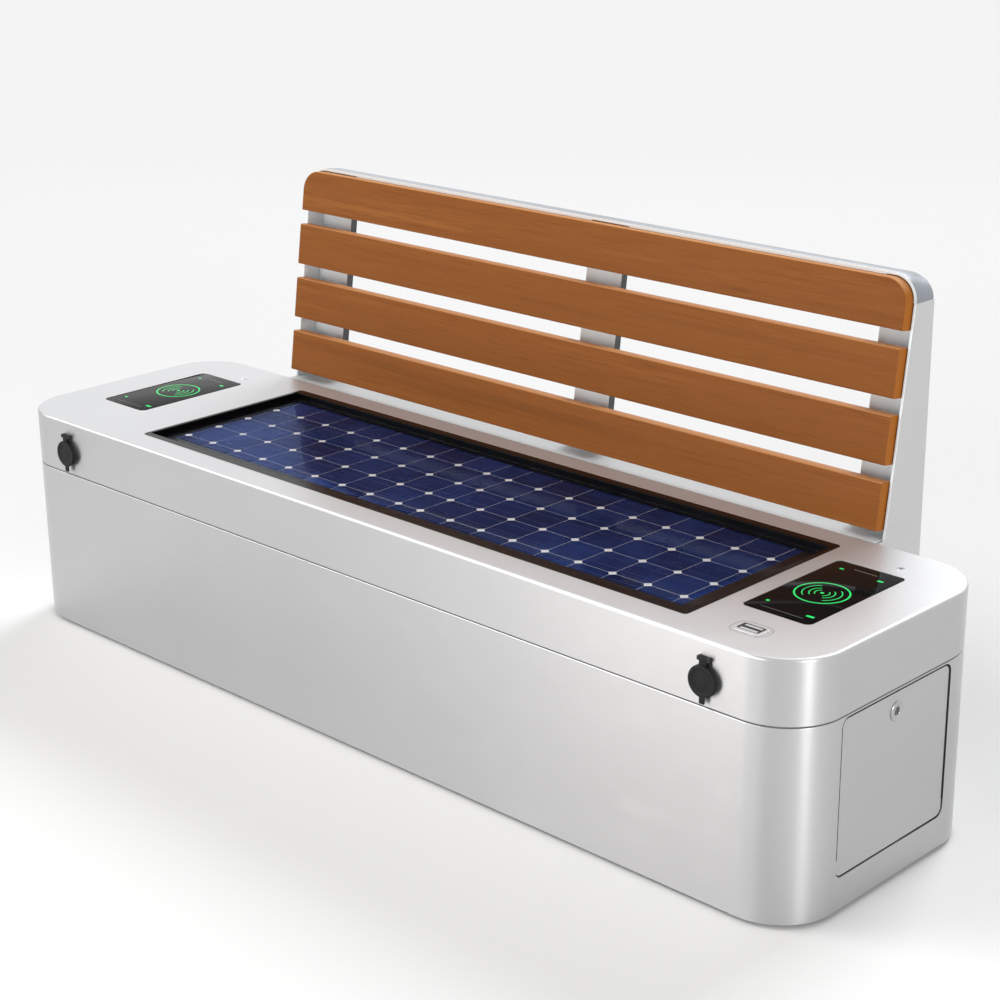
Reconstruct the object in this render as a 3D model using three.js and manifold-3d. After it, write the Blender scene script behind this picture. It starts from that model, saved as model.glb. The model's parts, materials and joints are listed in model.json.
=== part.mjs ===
// Solar charging bench: a stainless steel box seat with a solar panel, two wireless
// chargers, USB and power sockets in its deck, and a slatted timber backrest behind it.
// Millimetres, +X along the bench, -Y to its front, +Z up, origin on the floor at the middle
// of the whole bench.
import * as THREE from 'three';
import { mergeVertices } from 'three/addons/utils/BufferGeometryUtils.js';
import Module from 'manifold-3d';

const wasm = await Module();
wasm.setup();

// Driving dimensions of the whole bench
const benchLength = 1800;
const baseDepth = 470;
const backDepth = 132; // from the rear of the base to the rear of the backrest
const seatHeight = 408;
const benchHeight = 808;
const cornerRadius = 96;
const edgeRadius = 7;
const panelShift = 40; // the panel and the middle post stand a little right of the middle

// Fits and running gaps
const seat = 0.3; // between pieces that rest on each other
const running = 0.3; // between a pin or core and its bore, on the radius
const reveal = 2; // the visible joint round a cover, door or hood
const overrun = 3; // how far a cutting tool passes the work
const lensFit = 0.5; // round a plate that is let into the deck
const leastCornerShare = 0.4; // of a corner's radius that is kept when its outline is drawn in

// Steps of the round shapes
const cornerSteps = 6;
const smallSteps = 2;
const edgeSteps = 3;
const roundSteps = 24;

// Sheet metal of the base
const shellWall = 2;
const hoodWall = 3;
const hoodDepth = 100; // from the deck down to the joint with the shell
const floorGap = 6;
const flangeWidth = 16;
const basePlateThickness = 3;
const rearPanelThickness = 2;
const rearPanelLap = 12;

// Places that most pieces share
const socketFlange = 3;
const capThickness = 6.7;
const capProud = socketFlange + seat + capThickness;
const benchDepth = capProud + baseDepth + backDepth;
const endX = benchLength / 2;
const frontY = -benchDepth / 2 + capProud;
const baseRearY = frontY + baseDepth;
const baseMidY = (frontY + baseRearY) / 2;
const backY = benchDepth / 2;
const shellTopZ = seatHeight - hoodDepth - reveal / 2;
const hoodFootZ = shellTopZ + reveal;
const deckUnderZ = seatHeight - hoodWall;
const basePlateZ = floorGap + shellWall + seat;
const floorZ = basePlateZ + basePlateThickness; // the floor inside the base

const axisX = new THREE.Vector3(1, 0, 0);
const axisY = new THREE.Vector3(0, 1, 0);
const axisZ = new THREE.Vector3(0, 0, 1);

// Materials
function finish(color, metalness, roughness) {
  return new THREE.MeshStandardMaterial({ color, metalness, roughness });
}
const brushedSteel = finish(0xc9ccd0, 0.9, 0.35);
const satinSteel = finish(0xb4bac2, 0.85, 0.45);
const galvanised = finish(0x9aa0a6, 0.8, 0.55);
const darkSteel = finish(0x3a3d40, 0.7, 0.5);
const timber = finish(0x8a532a, 0.0, 0.6);
const solarGlass = finish(0x1c2f66, 0.1, 0.12);
const cellBlue = finish(0x17306e, 0.2, 0.4);
const blackGlass = finish(0x0a0c0d, 0.1, 0.1);
const blackRubber = finish(0x161718, 0.0, 0.8);
const blackPlastic = finish(0x1d1f20, 0.0, 0.55);
const greyPlastic = finish(0x74787c, 0.0, 0.6);
const copper = finish(0xb87338, 0.9, 0.4);
const chromed = finish(0xd8dadc, 1.0, 0.15);
const cableSheath = finish(0x202122, 0.0, 0.7);
const batteryCase = finish(0x2b4a6f, 0.0, 0.5);

const bench = new THREE.Group();

function addPart(name, geometry, material, parent = bench) {
  const mesh = new THREE.Mesh(geometry, material);
  mesh.name = name;
  parent.add(mesh);
  return mesh;
}

// Solids and their cuts
function toSolid(geometry) {
  const bare = geometry.clone();
  bare.deleteAttribute('normal');
  bare.deleteAttribute('uv');
  const merged = mergeVertices(bare);
  const vertProperties = new Float32Array(merged.attributes.position.array);
  const triVerts = new Uint32Array(merged.index.array);
  return new wasm.Manifold(new wasm.Mesh({ numProp: 3, vertProperties, triVerts }));
}

function toGeometry(solid) {
  const mesh = solid.getMesh();
  const geometry = new THREE.BufferGeometry();
  geometry.setAttribute('position', new THREE.BufferAttribute(mesh.vertProperties, 3));
  geometry.setIndex(new THREE.BufferAttribute(mesh.triVerts, 1));
  geometry.computeVertexNormals();
  return geometry;
}

function cut(work, ...tools) {
  let solid = toSolid(work);
  for (const tool of tools) solid = solid.subtract(toSolid(tool));
  return toGeometry(solid);
}

function join(work, ...others) {
  let solid = toSolid(work);
  for (const other of others) solid = solid.add(toSolid(other));
  return toGeometry(solid);
}

function common(work, other) {
  return toGeometry(toSolid(work).intersect(toSolid(other)));
}

// Simple forms
function block(lowX, highX, lowY, highY, lowZ, highZ) {
  const box = new THREE.BoxGeometry(highX - lowX, highY - lowY, highZ - lowZ);
  return box.translate((lowX + highX) / 2, (lowY + highY) / 2, (lowZ + highZ) / 2);
}

function traceRoundedRect(path, width, height, radius) {
  const x = width / 2 - radius;
  const y = height / 2 - radius;
  path.moveTo(x + radius, -y);
  path.absarc(x, y, radius, 0, Math.PI / 2);
  path.absarc(-x, y, radius, Math.PI / 2, Math.PI);
  path.absarc(-x, -y, radius, Math.PI, Math.PI * 1.5);
  path.absarc(x, -y, radius, Math.PI * 1.5, Math.PI * 2);
  return path;
}

function roundedRect(width, height, radius) {
  return traceRoundedRect(new THREE.Shape(), width, height, radius);
}

function outline(points) {
  return new THREE.Shape(points.map(([u, v]) => new THREE.Vector2(u, v)));
}

function slab(shape, thickness, steps = smallSteps) {
  const options = { depth: thickness, bevelEnabled: false, curveSegments: steps };
  return new THREE.ExtrudeGeometry(shape, options);
}

// An outline drawn in x and y, made thick along z
function alongZ(shape, lowZ, highZ, steps) {
  return slab(shape, highZ - lowZ, steps).translate(0, 0, lowZ);
}

// An outline drawn in y and z, made thick along x
function alongX(shape, lowX, highX, steps) {
  const turn = new THREE.Matrix4().makeBasis(axisY, axisZ, axisX);
  return slab(shape, highX - lowX, steps).applyMatrix4(turn).translate(lowX, 0, 0);
}

// An outline drawn in x and z, made thick along y
function alongY(shape, lowY, highY, steps) {
  const turn = new THREE.Matrix4().makeBasis(axisX, axisZ, axisY.clone().negate());
  return slab(shape, highY - lowY, steps).applyMatrix4(turn).translate(0, highY, 0);
}

// A turned form: its profile gives radius and place along its axis
function turned(profile, steps = roundSteps) {
  return new THREE.LatheGeometry(profile.map(([r, along]) => new THREE.Vector2(r, along)), steps);
}

function rod(radius, low, high, steps = roundSteps) {
  return turned([[0, low], [radius, low], [radius, high], [0, high]], steps);
}

function ontoX(geometry) {
  return geometry.applyMatrix4(new THREE.Matrix4().makeBasis(axisY, axisX, axisZ.clone().negate()));
}

function ontoZ(geometry) {
  return geometry.applyMatrix4(new THREE.Matrix4().makeBasis(axisX, axisZ, axisY.clone().negate()));
}

// A square tube ring, its outline in two directions and its bar width
function frameShape(lowU, highU, lowV, highV, bar) {
  const shape = outline([[lowU, lowV], [highU, lowV], [highU, highV], [lowU, highV]]);
  const hole = [[lowU + bar, lowV + bar], [lowU + bar, highV - bar],
    [highU - bar, highV - bar], [highU - bar, lowV + bar]];
  shape.holes.push(new THREE.Path(hole.map(([u, v]) => new THREE.Vector2(u, v))));
  return shape;
}

// The plan of the base, drawn in from its outside by an inset
function basePlan(inset) {
  const radius = cornerRadius - inset;
  return roundedRect(benchLength - 2 * inset, baseDepth - 2 * inset, radius);
}

function basePlanRing(outerInset, innerInset) {
  const shape = basePlan(outerInset);
  const hole = new THREE.Path();
  const radius = cornerRadius - innerInset;
  traceRoundedRect(hole, benchLength - 2 * innerInset, baseDepth - 2 * innerInset, radius);
  shape.holes.push(hole);
  return shape;
}

function inBase(geometry) {
  return geometry.translate(0, baseMidY, 0);
}

// Door in the right end, which the shell and its frame are cut for
const doorSide = 7; // of flat wall between the door and each rounded corner
const doorWidth = baseDepth - 2 * (cornerRadius + doorSide);
const doorFootZ = 60;
const doorTopZ = shellTopZ - shellWall - reveal;
const doorCorner = 13;
const doorSheet = 2.5;
const doorInset = 1.5; // the lock's bezel fills this, flush with the end
const doorFaceX = endX - doorInset;
const doorBackX = doorFaceX - doorSheet;

function doorOutline(grow) {
  const radius = Math.max(doorCorner + grow, doorCorner * leastCornerShare);
  return roundedRect(doorWidth + 2 * grow, doorTopZ - doorFootZ + 2 * grow, radius);
}

function doorSlab(grow, lowX, highX) {
  const solid = alongX(doorOutline(grow), lowX, highX, smallSteps);
  return solid.translate(0, baseMidY, (doorTopZ + doorFootZ) / 2);
}

// Shell: one wrap of sheet round the front, both ends and the rear corners
const rearReturn = 41;
const rearOpeningHalf = endX - cornerRadius - rearReturn;
const rearOpeningMargin = 14;
const rearOpeningLowZ = floorGap + rearOpeningMargin;
const rearOpeningHighZ = shellTopZ - rearOpeningMargin;

function makeShell() {
  const wall = alongZ(basePlanRing(0, shellWall), floorGap, shellTopZ, cornerSteps);
  const flange = basePlanRing(shellWall / 2, flangeWidth);
  const top = alongZ(flange, shellTopZ - shellWall, shellTopZ, cornerSteps);
  const foot = alongZ(flange, floorGap, floorGap + shellWall, cornerSteps);
  const whole = inBase(join(wall, top, foot));
  const rearOpening = block(-rearOpeningHalf, rearOpeningHalf, baseRearY - shellWall - overrun,
    baseRearY + overrun, rearOpeningLowZ, rearOpeningHighZ);
  const doorway = doorSlab(reveal, endX - shellWall - overrun, endX + overrun);
  return cut(whole, rearOpening, doorway);
}
addPart('lower_shell', makeShell(), brushedSteel);

// Rear service panel, lapped over the opening, with two groups of vent slots
const ventRows = 6;
const ventLength = 90;
const ventHeight = 6;
const ventPitch = 16;
const ventX = 420;

function makeRearPanel() {
  const half = rearOpeningHalf + rearPanelLap;
  const lowY = baseRearY + seat;
  const lowZ = rearOpeningLowZ - rearPanelLap;
  const highZ = rearOpeningHighZ + rearPanelLap;
  const panel = block(-half, half, lowY, lowY + rearPanelThickness, lowZ, highZ);
  const tools = [];
  const middleZ = (lowZ + highZ) / 2;
  for (const side of [-1, 1]) {
    for (let row = 0; row < ventRows; row += 1) {
      const z = middleZ + (row - (ventRows - 1) / 2) * ventPitch;
      const lowX = side * ventX - ventLength / 2;
      tools.push(block(lowX, lowX + ventLength, lowY - overrun, lowY + rearPanelThickness + overrun,
        z - ventHeight / 2, z + ventHeight / 2));
    }
  }
  return cut(panel, ...tools);
}
addPart('rear_panel', makeRearPanel(), brushedSteel);

// Levelling feet and the base plate that they screw through
const footFromEnd = 150;
const footFromFront = 70;
const footX = endX - footFromEnd;
const footFromMidY = baseDepth / 2 - footFromFront;
const footRadius = 26;
const footThickness = basePlateZ - seat;
const footStemRadius = 6;
const footStemTop = 34;

function footPlaces() {
  const places = [];
  for (const [end, x] of [['left', -footX], ['right', footX]]) {
    places.push([`foot_front_${end}`, x, baseMidY - footFromMidY]);
    places.push([`foot_rear_${end}`, x, baseMidY + footFromMidY]);
  }
  return places;
}

function makeBasePlate() {
  const plate = inBase(alongZ(basePlan(shellWall + seat), basePlateZ, floorZ, cornerSteps));
  const holes = footPlaces().map(([, x, y]) => {
    const hole = ontoZ(rod(footStemRadius + running, basePlateZ - overrun, floorZ + overrun));
    return hole.translate(x, y, 0);
  });
  return cut(plate, ...holes);
}
addPart('base_plate', makeBasePlate(), galvanised);

for (const [name, x, y] of footPlaces()) {
  const profile = [[0, 0], [footRadius, 0], [footRadius, footThickness], [footStemRadius, footThickness],
    [footStemRadius, footStemTop], [0, footStemTop]];
  addPart(name, ontoZ(turned(profile)).translate(x, y, 0), blackRubber);
}

// Inner frame: four welded hoops that stand on the base plate and two long rails on them
const hoopBar = 40;
const railHeight = 22.4;
const railWidth = 40;
const railWall = 3;
const railFromEnd = 100;
const railHalf = endX - railFromEnd;
const railFromWall = 14; // clear of the shell's flanges
const hoopTopZ = deckUnderZ - seat - railHeight - seat;
const hoopFrontY = frontY + hoodWall + railFromWall;
const hoopRearY = baseRearY - hoodWall - railFromWall;
const hoopFromEnd = 210;
const endHoopX = endX - hoopFromEnd;
const middleHoopShare = 1 / 3; // of the way out to the end frames
const middleHoopX = endHoopX * middleHoopShare;

const hoopPlaces = [
  ['left_end_frame', -endHoopX],
  ['left_middle_frame', -middleHoopX],
  ['right_middle_frame', middleHoopX],
  ['right_end_frame', endHoopX],
];
for (const [name, x] of hoopPlaces) {
  const shape = frameShape(hoopFrontY, hoopRearY, floorZ + seat, hoopTopZ, hoopBar);
  addPart(name, alongX(shape, x - hoopBar / 2, x + hoopBar / 2), galvanised);
}

const railPlaces = [
  ['front_rail', hoopFrontY],
  ['rear_rail', hoopRearY - railWidth],
];
for (const [name, lowY] of railPlaces) {
  const lowZ = hoopTopZ + seat;
  const shape = frameShape(lowY, lowY + railWidth, lowZ, lowZ + railHeight, railWall);
  addPart(name, alongX(shape, -railHalf, railHalf), galvanised);
}

// Solar panel: a framed laminate let into the deck
const panelFromEnds = 282; // on average, because the panel is shifted to the right
const panelFromFront = 60;
const panelLength = benchLength - 2 * panelFromEnds;
const panelDepth = baseDepth - 2 * panelFromFront;
const panelCorner = 4;
const panelLip = 3;
const panelLedge = 18;
const panelRecess = 8; // from the deck down to the glass
const glassThickness = 4;
const cellThickness = 1.5;
const frameTopZ = seatHeight - lensFit;
const glassTopZ = seatHeight - panelRecess;
const ledgeTopZ = glassTopZ - glassThickness - seat;
const frameFootZ = hoopTopZ + seat;

function panelRect(inset) {
  const radius = Math.max(panelCorner - inset, panelCorner * leastCornerShare);
  return roundedRect(panelLength - 2 * inset, panelDepth - 2 * inset, radius);
}

function atPanel(geometry) {
  return geometry.translate(panelShift, baseMidY, 0);
}

function makeSolarFrame() {
  const body = alongZ(panelRect(lensFit), frameFootZ, frameTopZ);
  const well = alongZ(panelRect(lensFit + panelLip), ledgeTopZ, frameTopZ + overrun);
  const through = alongZ(panelRect(lensFit + panelLedge), frameFootZ - overrun, frameTopZ);
  return atPanel(cut(body, well, through));
}
addPart('solar_frame', makeSolarFrame(), blackPlastic);

const glassInset = 2 * lensFit + panelLip;
const glass = alongZ(panelRect(glassInset), glassTopZ - glassThickness, glassTopZ);
addPart('solar_glass', atPanel(glass), solarGlass);

const cellInset = 2 * lensFit + panelLedge;
const cells = alongZ(panelRect(cellInset), ledgeTopZ - cellThickness, ledgeTopZ);
addPart('solar_cell_sheet', atPanel(cells), cellBlue);

const junctionLength = 110;
const junctionDepth = 86;
const junctionHeight = 22;
const junctionTopZ = ledgeTopZ - cellThickness - seat;
const junctionFootZ = junctionTopZ - junctionHeight;
const junction = alongZ(roundedRect(junctionLength, junctionDepth, panelCorner), junctionFootZ, junctionTopZ);
addPart('solar_junction_box', atPanel(junction), blackPlastic);

// Wireless chargers: a black glass plate over a coil in a housing under the deck
const chargerFromEnd = 145;
const chargerX = endX - chargerFromEnd;
const chargerWidth = 120;
const chargerFromEdges = 115; // the mean of its distances from the front and the rear
const chargerDepth = baseDepth - 2 * chargerFromEdges;
const chargerCorner = 11;
const chargerBack = 19; // from the middle of the base to the middle of a charger
const chargerMidY = baseMidY + chargerBack;
const chargerGlassThickness = hoodWall - lensFit;
const chargerWall = 3;
const chargerFlange = 8;
const chargerBodyInset = 6;
const chargerFootZ = hoopTopZ + seat;
const coilOuter = 40;
const coilInner = 21;
const coilThickness = 4;
const coilAcross = 12; // from the middle of the charger towards the rear

function chargerRect(grow) {
  return roundedRect(chargerWidth + 2 * grow, chargerDepth + 2 * grow, chargerCorner + grow);
}

function makeChargerHousing() {
  const flangeTopZ = deckUnderZ - seat;
  const flange = alongZ(chargerRect(chargerFlange), flangeTopZ - chargerWall, flangeTopZ);
  const body = alongZ(chargerRect(-chargerBodyInset), chargerFootZ, flangeTopZ);
  const well = alongZ(chargerRect(-chargerBodyInset - chargerWall), chargerFootZ + chargerWall,
    flangeTopZ + overrun);
  return cut(join(flange, body), well);
}

function makeChargerGlass() {
  return alongZ(chargerRect(-lensFit), deckUnderZ, deckUnderZ + chargerGlassThickness);
}

function makeCoil() {
  const lowZ = chargerFootZ + chargerWall + seat;
  const highZ = lowZ + coilThickness;
  const profile = [[coilInner, lowZ], [coilOuter, lowZ], [coilOuter, highZ], [coilInner, highZ],
    [coilInner, lowZ]];
  return ontoZ(turned(profile)).translate(0, coilAcross, 0);
}

for (const [end, x] of [['left', -chargerX], ['right', chargerX]]) {
  addPart(`${end}_charger_housing`, makeChargerHousing().translate(x, chargerMidY, 0), blackPlastic);
  addPart(`${end}_charger_coil`, makeCoil().translate(x, chargerMidY, 0), copper);
  addPart(`${end}_charger_glass`, makeChargerGlass().translate(x, chargerMidY, 0), blackGlass);
}

// USB outlet: a plate with two ports let into the deck at the right
const usbFromEnd = 136;
const usbX = endX - usbFromEnd;
const usbFromCharger = 63;
const usbMidY = chargerMidY - chargerDepth / 2 - usbFromCharger;
const usbLength = 48;
const usbWidth = 34;
const usbCorner = 9;
const usbLip = 3;
const usbPlateThickness = 1.5;
const usbPortLength = 14;
const usbPortWidth = 6;
const usbPortPitch = 12;
const usbModuleLength = usbLength - 4 * usbLip;
const usbModuleWidth = usbWidth - 4 * usbLip;
const usbModuleDepth = 30;
const usbPortDepth = 12;

function usbPorts(lowZ, highZ) {
  return [-1, 1].map((side) => block(-usbPortLength / 2, usbPortLength / 2,
    side * usbPortPitch / 2 - usbPortWidth / 2, side * usbPortPitch / 2 + usbPortWidth / 2, lowZ, highZ));
}

function makeUsbPlate() {
  const topZ = seatHeight + seat + usbPlateThickness;
  const plate = alongZ(roundedRect(usbLength, usbWidth, usbCorner), seatHeight + seat, topZ);
  return cut(plate, ...usbPorts(seatHeight - overrun, topZ + overrun));
}

function makeUsbModule() {
  const footZ = seatHeight - usbModuleDepth;
  const body = block(-usbModuleLength / 2, usbModuleLength / 2, -usbModuleWidth / 2, usbModuleWidth / 2,
    footZ, seatHeight);
  return cut(body, ...usbPorts(seatHeight - usbPortDepth, seatHeight + overrun));
}
addPart('usb_plate', makeUsbPlate().translate(usbX, usbMidY, 0), brushedSteel);
addPart('usb_module', makeUsbModule().translate(usbX, usbMidY, 0), blackPlastic);

// Light sensors behind the chargers
const sensorAcross = 30; // from the middle of the charger towards the right
const sensorFromRear = 69;
const sensorMidY = baseRearY - sensorFromRear;
const sensorRadius = 4;
const sensorHeadRadius = 6;
const sensorHead = 1;
const sensorStem = 14;

for (const [end, x] of [['left', -chargerX + sensorAcross], ['right', chargerX + sensorAcross]]) {
  const footZ = deckUnderZ - sensorStem;
  const headZ = seatHeight + seat;
  const profile = [[0, footZ], [sensorRadius, footZ], [sensorRadius, headZ], [sensorHeadRadius, headZ],
    [sensorRadius, headZ + sensorHead], [0, headZ + sensorHead]];
  const sensor = ontoZ(turned(profile, roundSteps / 2)).translate(x, sensorMidY, 0);
  addPart(`${end}_light_sensor`, sensor, chromed);
}

// Power sockets in the front of the hood, each with a hinged rubber cap
const socketFromEnd = 158;
const socketUnderDeck = 59;
const socketX = endX - socketFromEnd;
const socketZ = seatHeight - socketUnderDeck;
const socketFlangeRadius = 23;
const socketBarrelRadius = 14;
const socketBarrelLength = 38;
const socketBoreRadius = 10;
const socketBoreDepth = 30;
const nutRadius = 19;
const nutThickness = 7;
const capRadius = 26;
const capDome = 2;
const capPlugRadius = 9;
const capPlugLength = 4;
const capPinRadius = 1.5;
const capSleeveRadius = 3;
const capSleeveHalf = 6.7;
const capEar = 3;
const capPinAbove = 33; // from the socket's middle up to the pin
const capTabLong = 8;
const capTabHalf = 6;
const capTabThickness = 3;
const earHalf = capSleeveHalf + seat + capEar;
const flangeFaceY = frontY - socketFlange;
const capPinY = flangeFaceY - seat - capSleeveRadius;
const capPinZ = socketZ + capPinAbove;
const capBackY = flangeFaceY - seat;

function makeSocket() {
  const barrelEndY = frontY + socketBarrelLength;
  const profile = [[0, socketBoreDepth], [socketBoreRadius, socketBoreDepth], [socketBoreRadius, 0],
    [socketFlangeRadius, 0], [socketFlangeRadius, socketFlange], [socketBarrelRadius, socketFlange],
    [socketBarrelRadius, barrelEndY - flangeFaceY], [0, barrelEndY - flangeFaceY]];
  const body = turned(profile).translate(0, flangeFaceY, socketZ);
  const earTopZ = capPinZ + capSleeveRadius;
  const plate = block(-earHalf, earHalf, flangeFaceY, frontY - seat,
    socketZ + socketBarrelRadius, earTopZ);
  const ears = [-1, 1].map((side) => {
    const lowX = side < 0 ? -earHalf : earHalf - capEar;
    return block(lowX, lowX + capEar, capPinY - capPinRadius - running, flangeFaceY + socketFlange / 2,
      capPinZ - capSleeveRadius, earTopZ);
  });
  const pin = ontoX(rod(capPinRadius, -earHalf + capEar / 2, earHalf - capEar / 2, roundSteps / 2));
  return join(body, plate, ...ears, pin.translate(0, capPinY, capPinZ));
}

function makeSocketCap() {
  const profile = [[0, -capThickness], [capRadius - capDome, -capThickness],
    [capRadius, capDome - capThickness], [capRadius, 0], [capPlugRadius, 0],
    [capPlugRadius, capPlugLength], [0, capPlugLength]];
  const disc = turned(profile).translate(0, capBackY, socketZ);
  const neck = block(-capTabHalf, capTabHalf, capPinY - capTabThickness / 2, capPinY + capTabThickness / 2,
    socketZ + capRadius - capDome, capPinZ - capPinRadius - running);
  const sleeve = ontoX(rod(capSleeveRadius, -capSleeveHalf, capSleeveHalf, roundSteps / 2));
  const tab = block(-capTabHalf, capTabHalf, capBackY - capTabThickness - capDome, capBackY - capDome,
    socketZ - capRadius - capTabLong, socketZ - capRadius + capDome);
  const bore = ontoX(rod(capPinRadius + running, -capSleeveHalf - overrun, capSleeveHalf + overrun,
    roundSteps / 2));
  const whole = join(disc, neck, sleeve.translate(0, capPinY, capPinZ), tab);
  return cut(whole, bore.translate(0, capPinY, capPinZ));
}

function makeSocketNut() {
  const lowY = frontY + hoodWall + seat;
  const inner = socketBarrelRadius + running;
  const profile = [[inner, lowY], [nutRadius, lowY], [nutRadius, lowY + nutThickness],
    [inner, lowY + nutThickness], [inner, lowY]];
  return turned(profile).translate(0, 0, socketZ);
}

for (const [end, x] of [['left', -socketX], ['right', socketX]]) {
  addPart(`${end}_power_socket`, makeSocket().translate(x, 0, 0), blackPlastic);
  addPart(`${end}_socket_nut`, makeSocketNut().translate(x, 0, 0), galvanised);
  addPart(`${end}_socket_cap`, makeSocketCap().translate(x, 0, 0), blackRubber);
}

// Hood: the deck and its skirt in one pressing, cut for all that is let into it
function roundTopped(inset, edge, lowZ, highZ) {
  const options = {
    depth: highZ - lowZ,
    bevelThickness: edge,
    bevelSize: edge,
    bevelOffset: -edge,
    bevelSegments: edgeSteps,
    curveSegments: cornerSteps,
  };
  const body = new THREE.ExtrudeGeometry(basePlan(inset), options).translate(0, 0, lowZ - edge);
  const foot = block(-benchLength, benchLength, -baseDepth, baseDepth, lowZ - 2 * edge, lowZ);
  return cut(body, foot);
}

function makeHood() {
  const outer = roundTopped(0, edgeRadius, hoodFootZ, seatHeight);
  const inner = roundTopped(hoodWall, edgeRadius - hoodWall, hoodFootZ - overrun, deckUnderZ);
  const deckLowZ = deckUnderZ - overrun;
  const deckHighZ = seatHeight + overrun;
  const tools = [alongZ(panelRect(0), deckLowZ, deckHighZ).translate(panelShift, 0, 0)];
  const usbHole = block(-usbModuleLength / 2 - seat, usbModuleLength / 2 + seat,
    -usbModuleWidth / 2 - seat, usbModuleWidth / 2 + seat, deckLowZ, deckHighZ);
  tools.push(usbHole.translate(usbX, usbMidY - baseMidY, 0));
  for (const side of [-1, 1]) {
    const charger = alongZ(chargerRect(0), deckLowZ, deckHighZ);
    tools.push(charger.translate(side * chargerX, chargerMidY - baseMidY, 0));
    const sensor = ontoZ(rod(sensorRadius + seat, deckLowZ, deckHighZ, roundSteps / 2));
    tools.push(sensor.translate(side * chargerX + sensorAcross, sensorMidY - baseMidY, 0));
    const socket = rod(socketBarrelRadius + seat, -overrun, hoodWall + overrun);
    tools.push(socket.translate(side * socketX, frontY - baseMidY, socketZ));
  }
  return inBase(cut(outer, inner, ...tools));
}
addPart('deck_hood', makeHood(), brushedSteel);

const sealInset = 0.8;
const seal = alongZ(basePlanRing(sealInset, flangeWidth - sealInset), shellTopZ + seat, hoodFootZ - seat,
  cornerSteps);
addPart('hood_seal', inBase(seal), blackRubber);

// Door frame: a rebated frame behind the doorway, bored for the hinge rod
const doorFrameDepth = 17.7;
const doorFrameSide = 20; // beyond the doorway's sides
const doorFrameFootZ = 40;
const doorClear = 18; // from the door's edge in to the clear opening
const hingeRodRadius = 1.5;
const hingeKnuckleRadius = 3;
const hingeRise = 12; // from the door's foot up to the hinge's line
const hingeX = doorBackX - hingeKnuckleRadius;
const hingeZ = doorFootZ + hingeRise;
const hingeKnuckleHalf = 124;
const hingePocket = 14; // clear round the hinge's line, for the door's foot to swing in

function makeDoorFrame() {
  const highX = endX - shellWall - seat;
  const halfWidth = doorWidth / 2 + doorFrameSide;
  const topZ = shellTopZ - shellWall - seat;
  const blank = block(highX - doorFrameDepth, highX, baseMidY - halfWidth, baseMidY + halfWidth,
    doorFrameFootZ, topZ);
  const body = common(blank, inBase(alongZ(basePlan(shellWall + seat), 0, topZ, cornerSteps)));
  const through = doorSlab(-doorClear, highX - doorFrameDepth - overrun, highX + overrun);
  const rebate = doorSlab(reveal, doorBackX - seat, highX + overrun);
  const rebateHalf = doorWidth / 2 + reveal;
  const topRelief = block(doorBackX - seat, highX + overrun, baseMidY - rebateHalf + doorCorner,
    baseMidY + rebateHalf - doorCorner, doorTopZ - doorCorner, shellTopZ);
  const pocket = block(hingeX - hingePocket, highX + overrun, baseMidY - rebateHalf, baseMidY + rebateHalf,
    doorFootZ - 2 * reveal, hingeZ + hingePocket);
  const rodHalf = rebateHalf + doorFrameSide / 2;
  const bore = rod(hingeRodRadius + running, baseMidY - rodHalf, baseMidY + rodHalf, roundSteps / 2);
  return cut(body, through, rebate, topRelief, pocket, bore.translate(hingeX, 0, hingeZ));
}
addPart('door_frame', makeDoorFrame(), galvanised);

const hingeRodHalf = doorWidth / 2 + reveal + doorFrameSide / 2 - seat;
const hingeRod = rod(hingeRodRadius, baseMidY - hingeRodHalf, baseMidY + hingeRodHalf, roundSteps / 2);
addPart('door_hinge_rod', hingeRod.translate(hingeX, 0, hingeZ), chromed);

// Access door with its rolled hinge knuckle and the hole for its lock
const lockDrop = 31; // from the door's top down to the middle of the lock
const lockBodyRadius = 9;
const lockBodyLength = 21;
const lockBezelRadius = 15;
const lockCoreRadius = 6;
const keySlotDepth = 4;
const keySlotHalf = 0.8;
const camThickness = 3;
const camReach = 30;
const camHalf = 7;
const camGap = 2; // behind the lock's body
const lockZ = doorTopZ - lockDrop;
const lockBodyBackX = endX - lockBodyLength;
const camX = lockBodyBackX - camGap - camThickness;

function makeDoor() {
  const sheet = doorSlab(0, doorBackX, doorFaceX);
  const knuckle = rod(hingeKnuckleRadius, baseMidY - hingeKnuckleHalf, baseMidY + hingeKnuckleHalf,
    roundSteps / 2);
  const web = block(hingeX, doorBackX + doorSheet / 2, baseMidY - hingeKnuckleHalf,
    baseMidY + hingeKnuckleHalf, hingeZ - hingeKnuckleRadius, hingeZ + hingeKnuckleRadius);
  const bore = rod(hingeRodRadius + running, baseMidY - hingeKnuckleHalf - overrun,
    baseMidY + hingeKnuckleHalf + overrun, roundSteps / 2);
  const lockHole = ontoX(rod(lockBodyRadius + seat, doorBackX - overrun, doorFaceX + overrun));
  return cut(join(sheet, knuckle.translate(hingeX, 0, hingeZ), web), bore.translate(hingeX, 0, hingeZ),
    lockHole.translate(0, baseMidY, lockZ));
}
addPart('access_door', makeDoor(), brushedSteel);

function makeLock() {
  const inner = lockCoreRadius + running;
  const faceX = doorFaceX + seat;
  const profile = [[inner, lockBodyBackX], [lockBodyRadius, lockBodyBackX], [lockBodyRadius, faceX],
    [lockBezelRadius, faceX], [lockBezelRadius, endX], [inner, endX], [inner, lockBodyBackX]];
  return ontoX(turned(profile)).translate(0, baseMidY, lockZ);
}
addPart('door_lock', makeLock(), chromed);

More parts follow.
